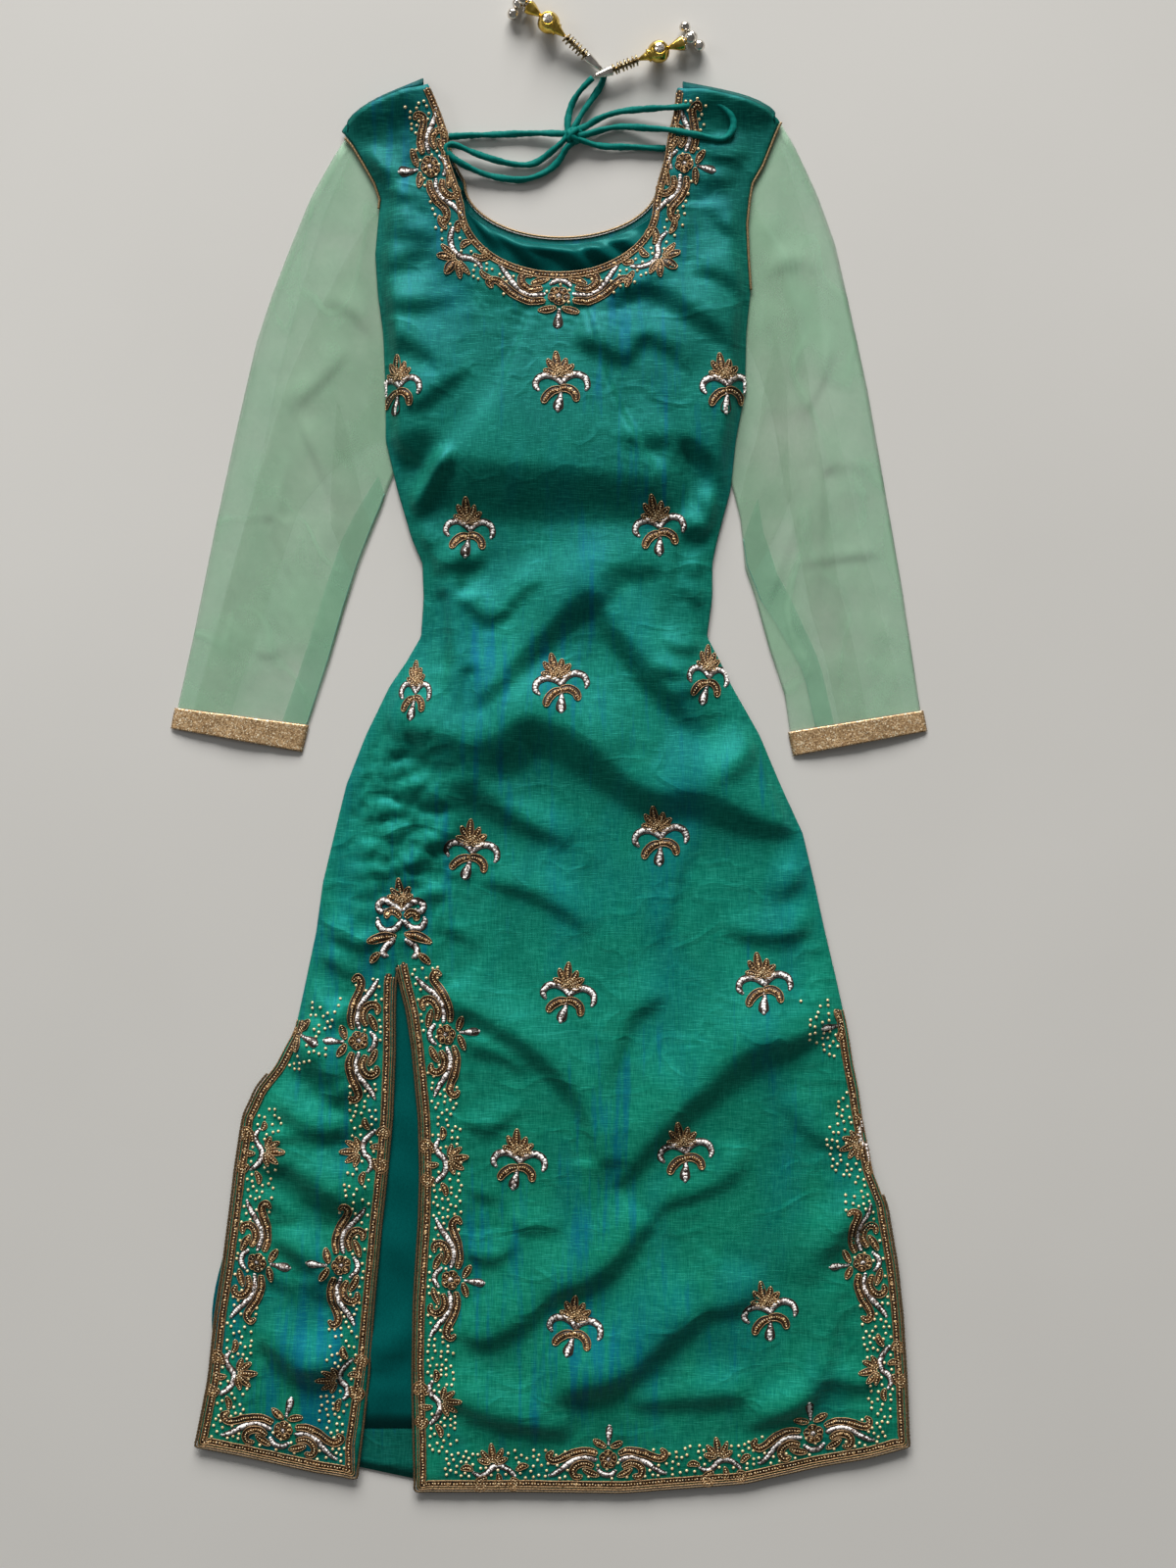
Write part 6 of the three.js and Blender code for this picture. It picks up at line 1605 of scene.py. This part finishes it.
# %% Tassel shapes
TASSELS = {
    "right": dict(start=(34.4, 1.4), towards=(107, -27), cone=(9.0, 7.6)),
    "left": dict(start=(40.2, -5.9), towards=(-18, -55), cone=(3.7, 4.3)),
}
CONE_PROFILE = [(0, 1.1), (0.4, 1.4), (2, 1.8), (5, 2.35), (9, 3.05), (13, 3.65), (14.2, 3.8), (14.6, 3.6),
                (15, 2.6)]
BEAD_PROFILE = [(36.6, 1.2), (38, 1.5), (41, 2.5), (43.4, 3.5), (44.4, 5.2), (45.4, 4.4), (46.6, 5.8),
                (48.4, 7.1), (50.4, 7.9), (52, 8.2), (53.6, 8.3), (55.2, 8.1), (57, 7.3), (58.6, 6.1),
                (59.8, 4.4), (60.6, 2.8), (61, 1.6)]
CAP_PROFILE = [(61.3, 1.3), (62, 1.7), (65, 2.8), (69, 4.5), (71.6, 5.3), (72.4, 5.4), (72.2, 4.6), (71, 3.4),
               (76.6, 1.8)]
BALLS = [(78.9, -11.4, 4.7), (81.2, -2.8, 4.7), (83.9, 5.7, 4.7), (78.2, 0.4, 12.4)]


def tassel_place(t):
    """A function that gives places on a tassel, from how far along its line they are."""
    start, towards = (np.array(t[end], float) for end in ("start", "towards"))
    heading = (towards - start) / np.linalg.norm(towards - start)
    line = np.array([(0, t["cone"][0]), (15, t["cone"][1]), (36.6, 8.8), (61, 8.8), (76, 5.8)])

    def place(along, across=0.0, z=None):
        z = np.interp(along, line[:, 0], line[:, 1]) if z is None else z
        return to_metres(start[0] + heading[0] * along - heading[1] * across,
                         start[1] + heading[1] * along + heading[0] * across, z)
    return place


def axis_and_side(place, first, last):
    along = place(last) - place(first)
    axis = along / np.linalg.norm(along)
    return axis, np.cross(axis, [0, 0, 1.0])


def spun(profile, place, sides=28, flutes=0, depth=0.0):
    """A profile turned round the straight line between its two ends."""
    first = profile[0][0]
    axis, side = axis_and_side(place, first, profile[-1][0])
    side /= np.linalg.norm(side)
    up = np.cross(side, axis)
    angle = np.linspace(0, 2 * np.pi, sides, endpoint=False)
    round_it = np.cos(angle)[:, None] * side + np.sin(angle)[:, None] * up
    verts = [place(first) + axis * (s - first) * MM + round_it
             * (r * MM * (1 + depth * np.cos(flutes * angle)))[:, None]
             for s, r in profile]
    n = len(profile)
    faces = [(i * sides + k, i * sides + (k + 1) % sides, (i + 1) * sides + (k + 1) % sides,
              (i + 1) * sides + k)
             for i in range(n - 1) for k in range(sides)]
    faces += [tuple(range(sides))[::-1], tuple((n - 1) * sides + k for k in range(sides))]
    return np.concatenate(verts), faces


def ball_mesh(middle, radius, sides=24, rings=14):
    verts, faces = [middle + np.array([0, 0, -radius])], []
    for i in range(1, rings):
        a = -math.pi / 2 + math.pi * i / rings
        for k in range(sides):
            b = 2 * math.pi * k / sides
            verts.append(middle + radius * np.array([math.cos(a) * math.cos(b), math.cos(a) * math.sin(b),
                                                     math.sin(a)]))
    verts.append(middle + np.array([0, 0, radius]))
    top = len(verts) - 1
    for k in range(sides):
        faces.append((0, 1 + (k + 1) % sides, 1 + k))
        for i in range(rings - 2):
            p, q = 1 + i * sides, 1 + (i + 1) * sides
            faces.append((p + k, p + (k + 1) % sides, q + (k + 1) % sides, q + k))
        faces.append((top, 1 + (rings - 2) * sides + k, 1 + (rings - 2) * sides + (k + 1) % sides))
    return np.array(verts), faces


# %% Tassels
DISC_PROFILE = [(-0.8, 1.6), (-0.75, 3.4), (-0.35, 4.2), (0, 4.4), (0.35, 4.2), (0.75, 3.4), (0.8, 1.6)]
CORE_ENDS, FIRST_DISC, DISC_PITCH, DISC_COUNT = (15.3, 36.3), 16.9, 3.0, 7


def discs(place):
    """Thin discs on a core, none of them quite square to it."""
    rng = np.random.default_rng(31)
    axis, across = axis_and_side(place, *CORE_ENDS)
    parts = [spun([(end, 1.6) for end in CORE_ENDS], place, 12)]
    for k in range(DISC_COUNT):
        lean = rng.uniform(-0.5, 0.5) * 0.35
        disc, faces = spun([(FIRST_DISC + DISC_PITCH * k + s, r) for s, r in DISC_PROFILE], place, 22)
        parts.append((disc + axis * ((disc - disc.mean(0)) @ across)[:, None] * lean, faces))
    return join_meshes(parts)


def ring(count):
    return np.linspace(0, 2 * np.pi, count, endpoint=False)


tassel_pieces = {}
for name, t in TASSELS.items():
    place = tassel_place(t)
    middle = place(53.4)
    collar = [middle + (math.cos(a) * 0.0047, math.sin(a) * 0.0047, 0.0067) for a in ring(36)]
    crystal, crystal_faces = dome(10, 3)
    pearls = [ball_mesh(place(73.6, 4.4 * math.cos(a), 6.2 + 3.8 * math.sin(a)), 0.00145, 12, 8)
              for a in ring(8)]
    shapes = [  # piece, shape, finish, slot, the solid that it stands for
        ("silver_cone", spun(CONE_PROFILE, place), SILVER, "silver_metal", "cone"),
        ("brass_discs", discs(place), BRASS, "antique_brass", "discs"),
        ("gilt_bead", spun(BEAD_PROFILE, place, 30, 6, 0.035), GILT, "gilt_metal", "bead"),
        ("crystal_collar", tube_mesh(collar, 0.0009, 8, closed=True), GILT, "gilt_metal", None),
        ("crystal", (crystal * (0.0042, 0.0042, 0.0022) + middle + (0, 0, 0.0066), crystal_faces), CRYSTAL,
         "silver_metal", None),
        ("gilt_cap", spun(CAP_PROFILE, place, 26, 6, 0.04), GILT, "gilt_metal", "cap"),
        ("pearls", join_meshes(pearls), SILVER, "silver_metal", None)]
    shapes += [(f"silver_ball_{k + 1}", ball_mesh(place(*ball), 0.0044), SILVER, "silver_metal",
                f"ball_{k + 1}")
               for k, ball in enumerate(BALLS)]
    tassel_pieces[name] = [lay(f"tassel_{name}_{piece}", shape, material, slot,
                               *([f"tassel_{name}_{solid}"] if solid else []), flat_faces=piece == "crystal")
                           for piece, shape, material, slot, solid in shapes]

# %% [markdown]
# ## The cords' lengths
# Each cord's length is printed.

# %% Soft pieces
for (made, path, length), pieces, exit_at in zip(
        cords, (tassel_pieces["right"] + [knot], tassel_pieces["left"]),
    (CORDS["tie_left"][0], CORDS["tie_right"][-1])):
    print(made.name, "length, m:", round(length, 3))
    tuple(to_metres(*exit_at))
for name in SLEEVES:
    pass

# %% [markdown]
# ## Floor and light
# A plain pale floor, a broad soft window light from beyond the neck, and a faint fill from all round, so that
# each fold is bright on the side towards the neck and dark below its crest.

# %% Floor
bpy.ops.mesh.primitive_plane_add(size=8, location=(0, 0, -0.0004))
floor = bpy.context.object
floor.name = "floor"
floor.data.materials.append(FLOOR)


# %% Light
def area_light(name, location, target, size, power, colour):
    data = bpy.data.lights.new(name, "AREA")
    data.shape, data.size, data.size_y = "RECTANGLE", size[0], size[1]
    data.energy, data.color = power, colour
    made = bpy.data.objects.new(name, data)
    made.location = location
    made.rotation_euler = (Vector(target) - Vector(location)).to_track_quat("-Z", "Y").to_euler()
    bpy.context.scene.collection.objects.link(made)
    return made


area_light("window", (-0.7, 9.15, 3.94), (0, 0, 0), (7.6, 4.4), 1880.0, (1.0, 0.985, 0.96))
area_light("side_window", (-2.6, 1.2, 1.8), (0, 0, 0), (1.0, 1.0), 10.0, (0.96, 0.98, 1.0))
world = bpy.data.worlds.new("room")
world.use_nodes = True
world.node_tree.nodes["Background"].inputs["Color"].default_value = (1.0, 0.99, 0.97, 1)
world.node_tree.nodes["Background"].inputs["Strength"].default_value = 0.14
bpy.context.scene.world = world
bpy.context.scene.view_settings.view_transform = "Standard"
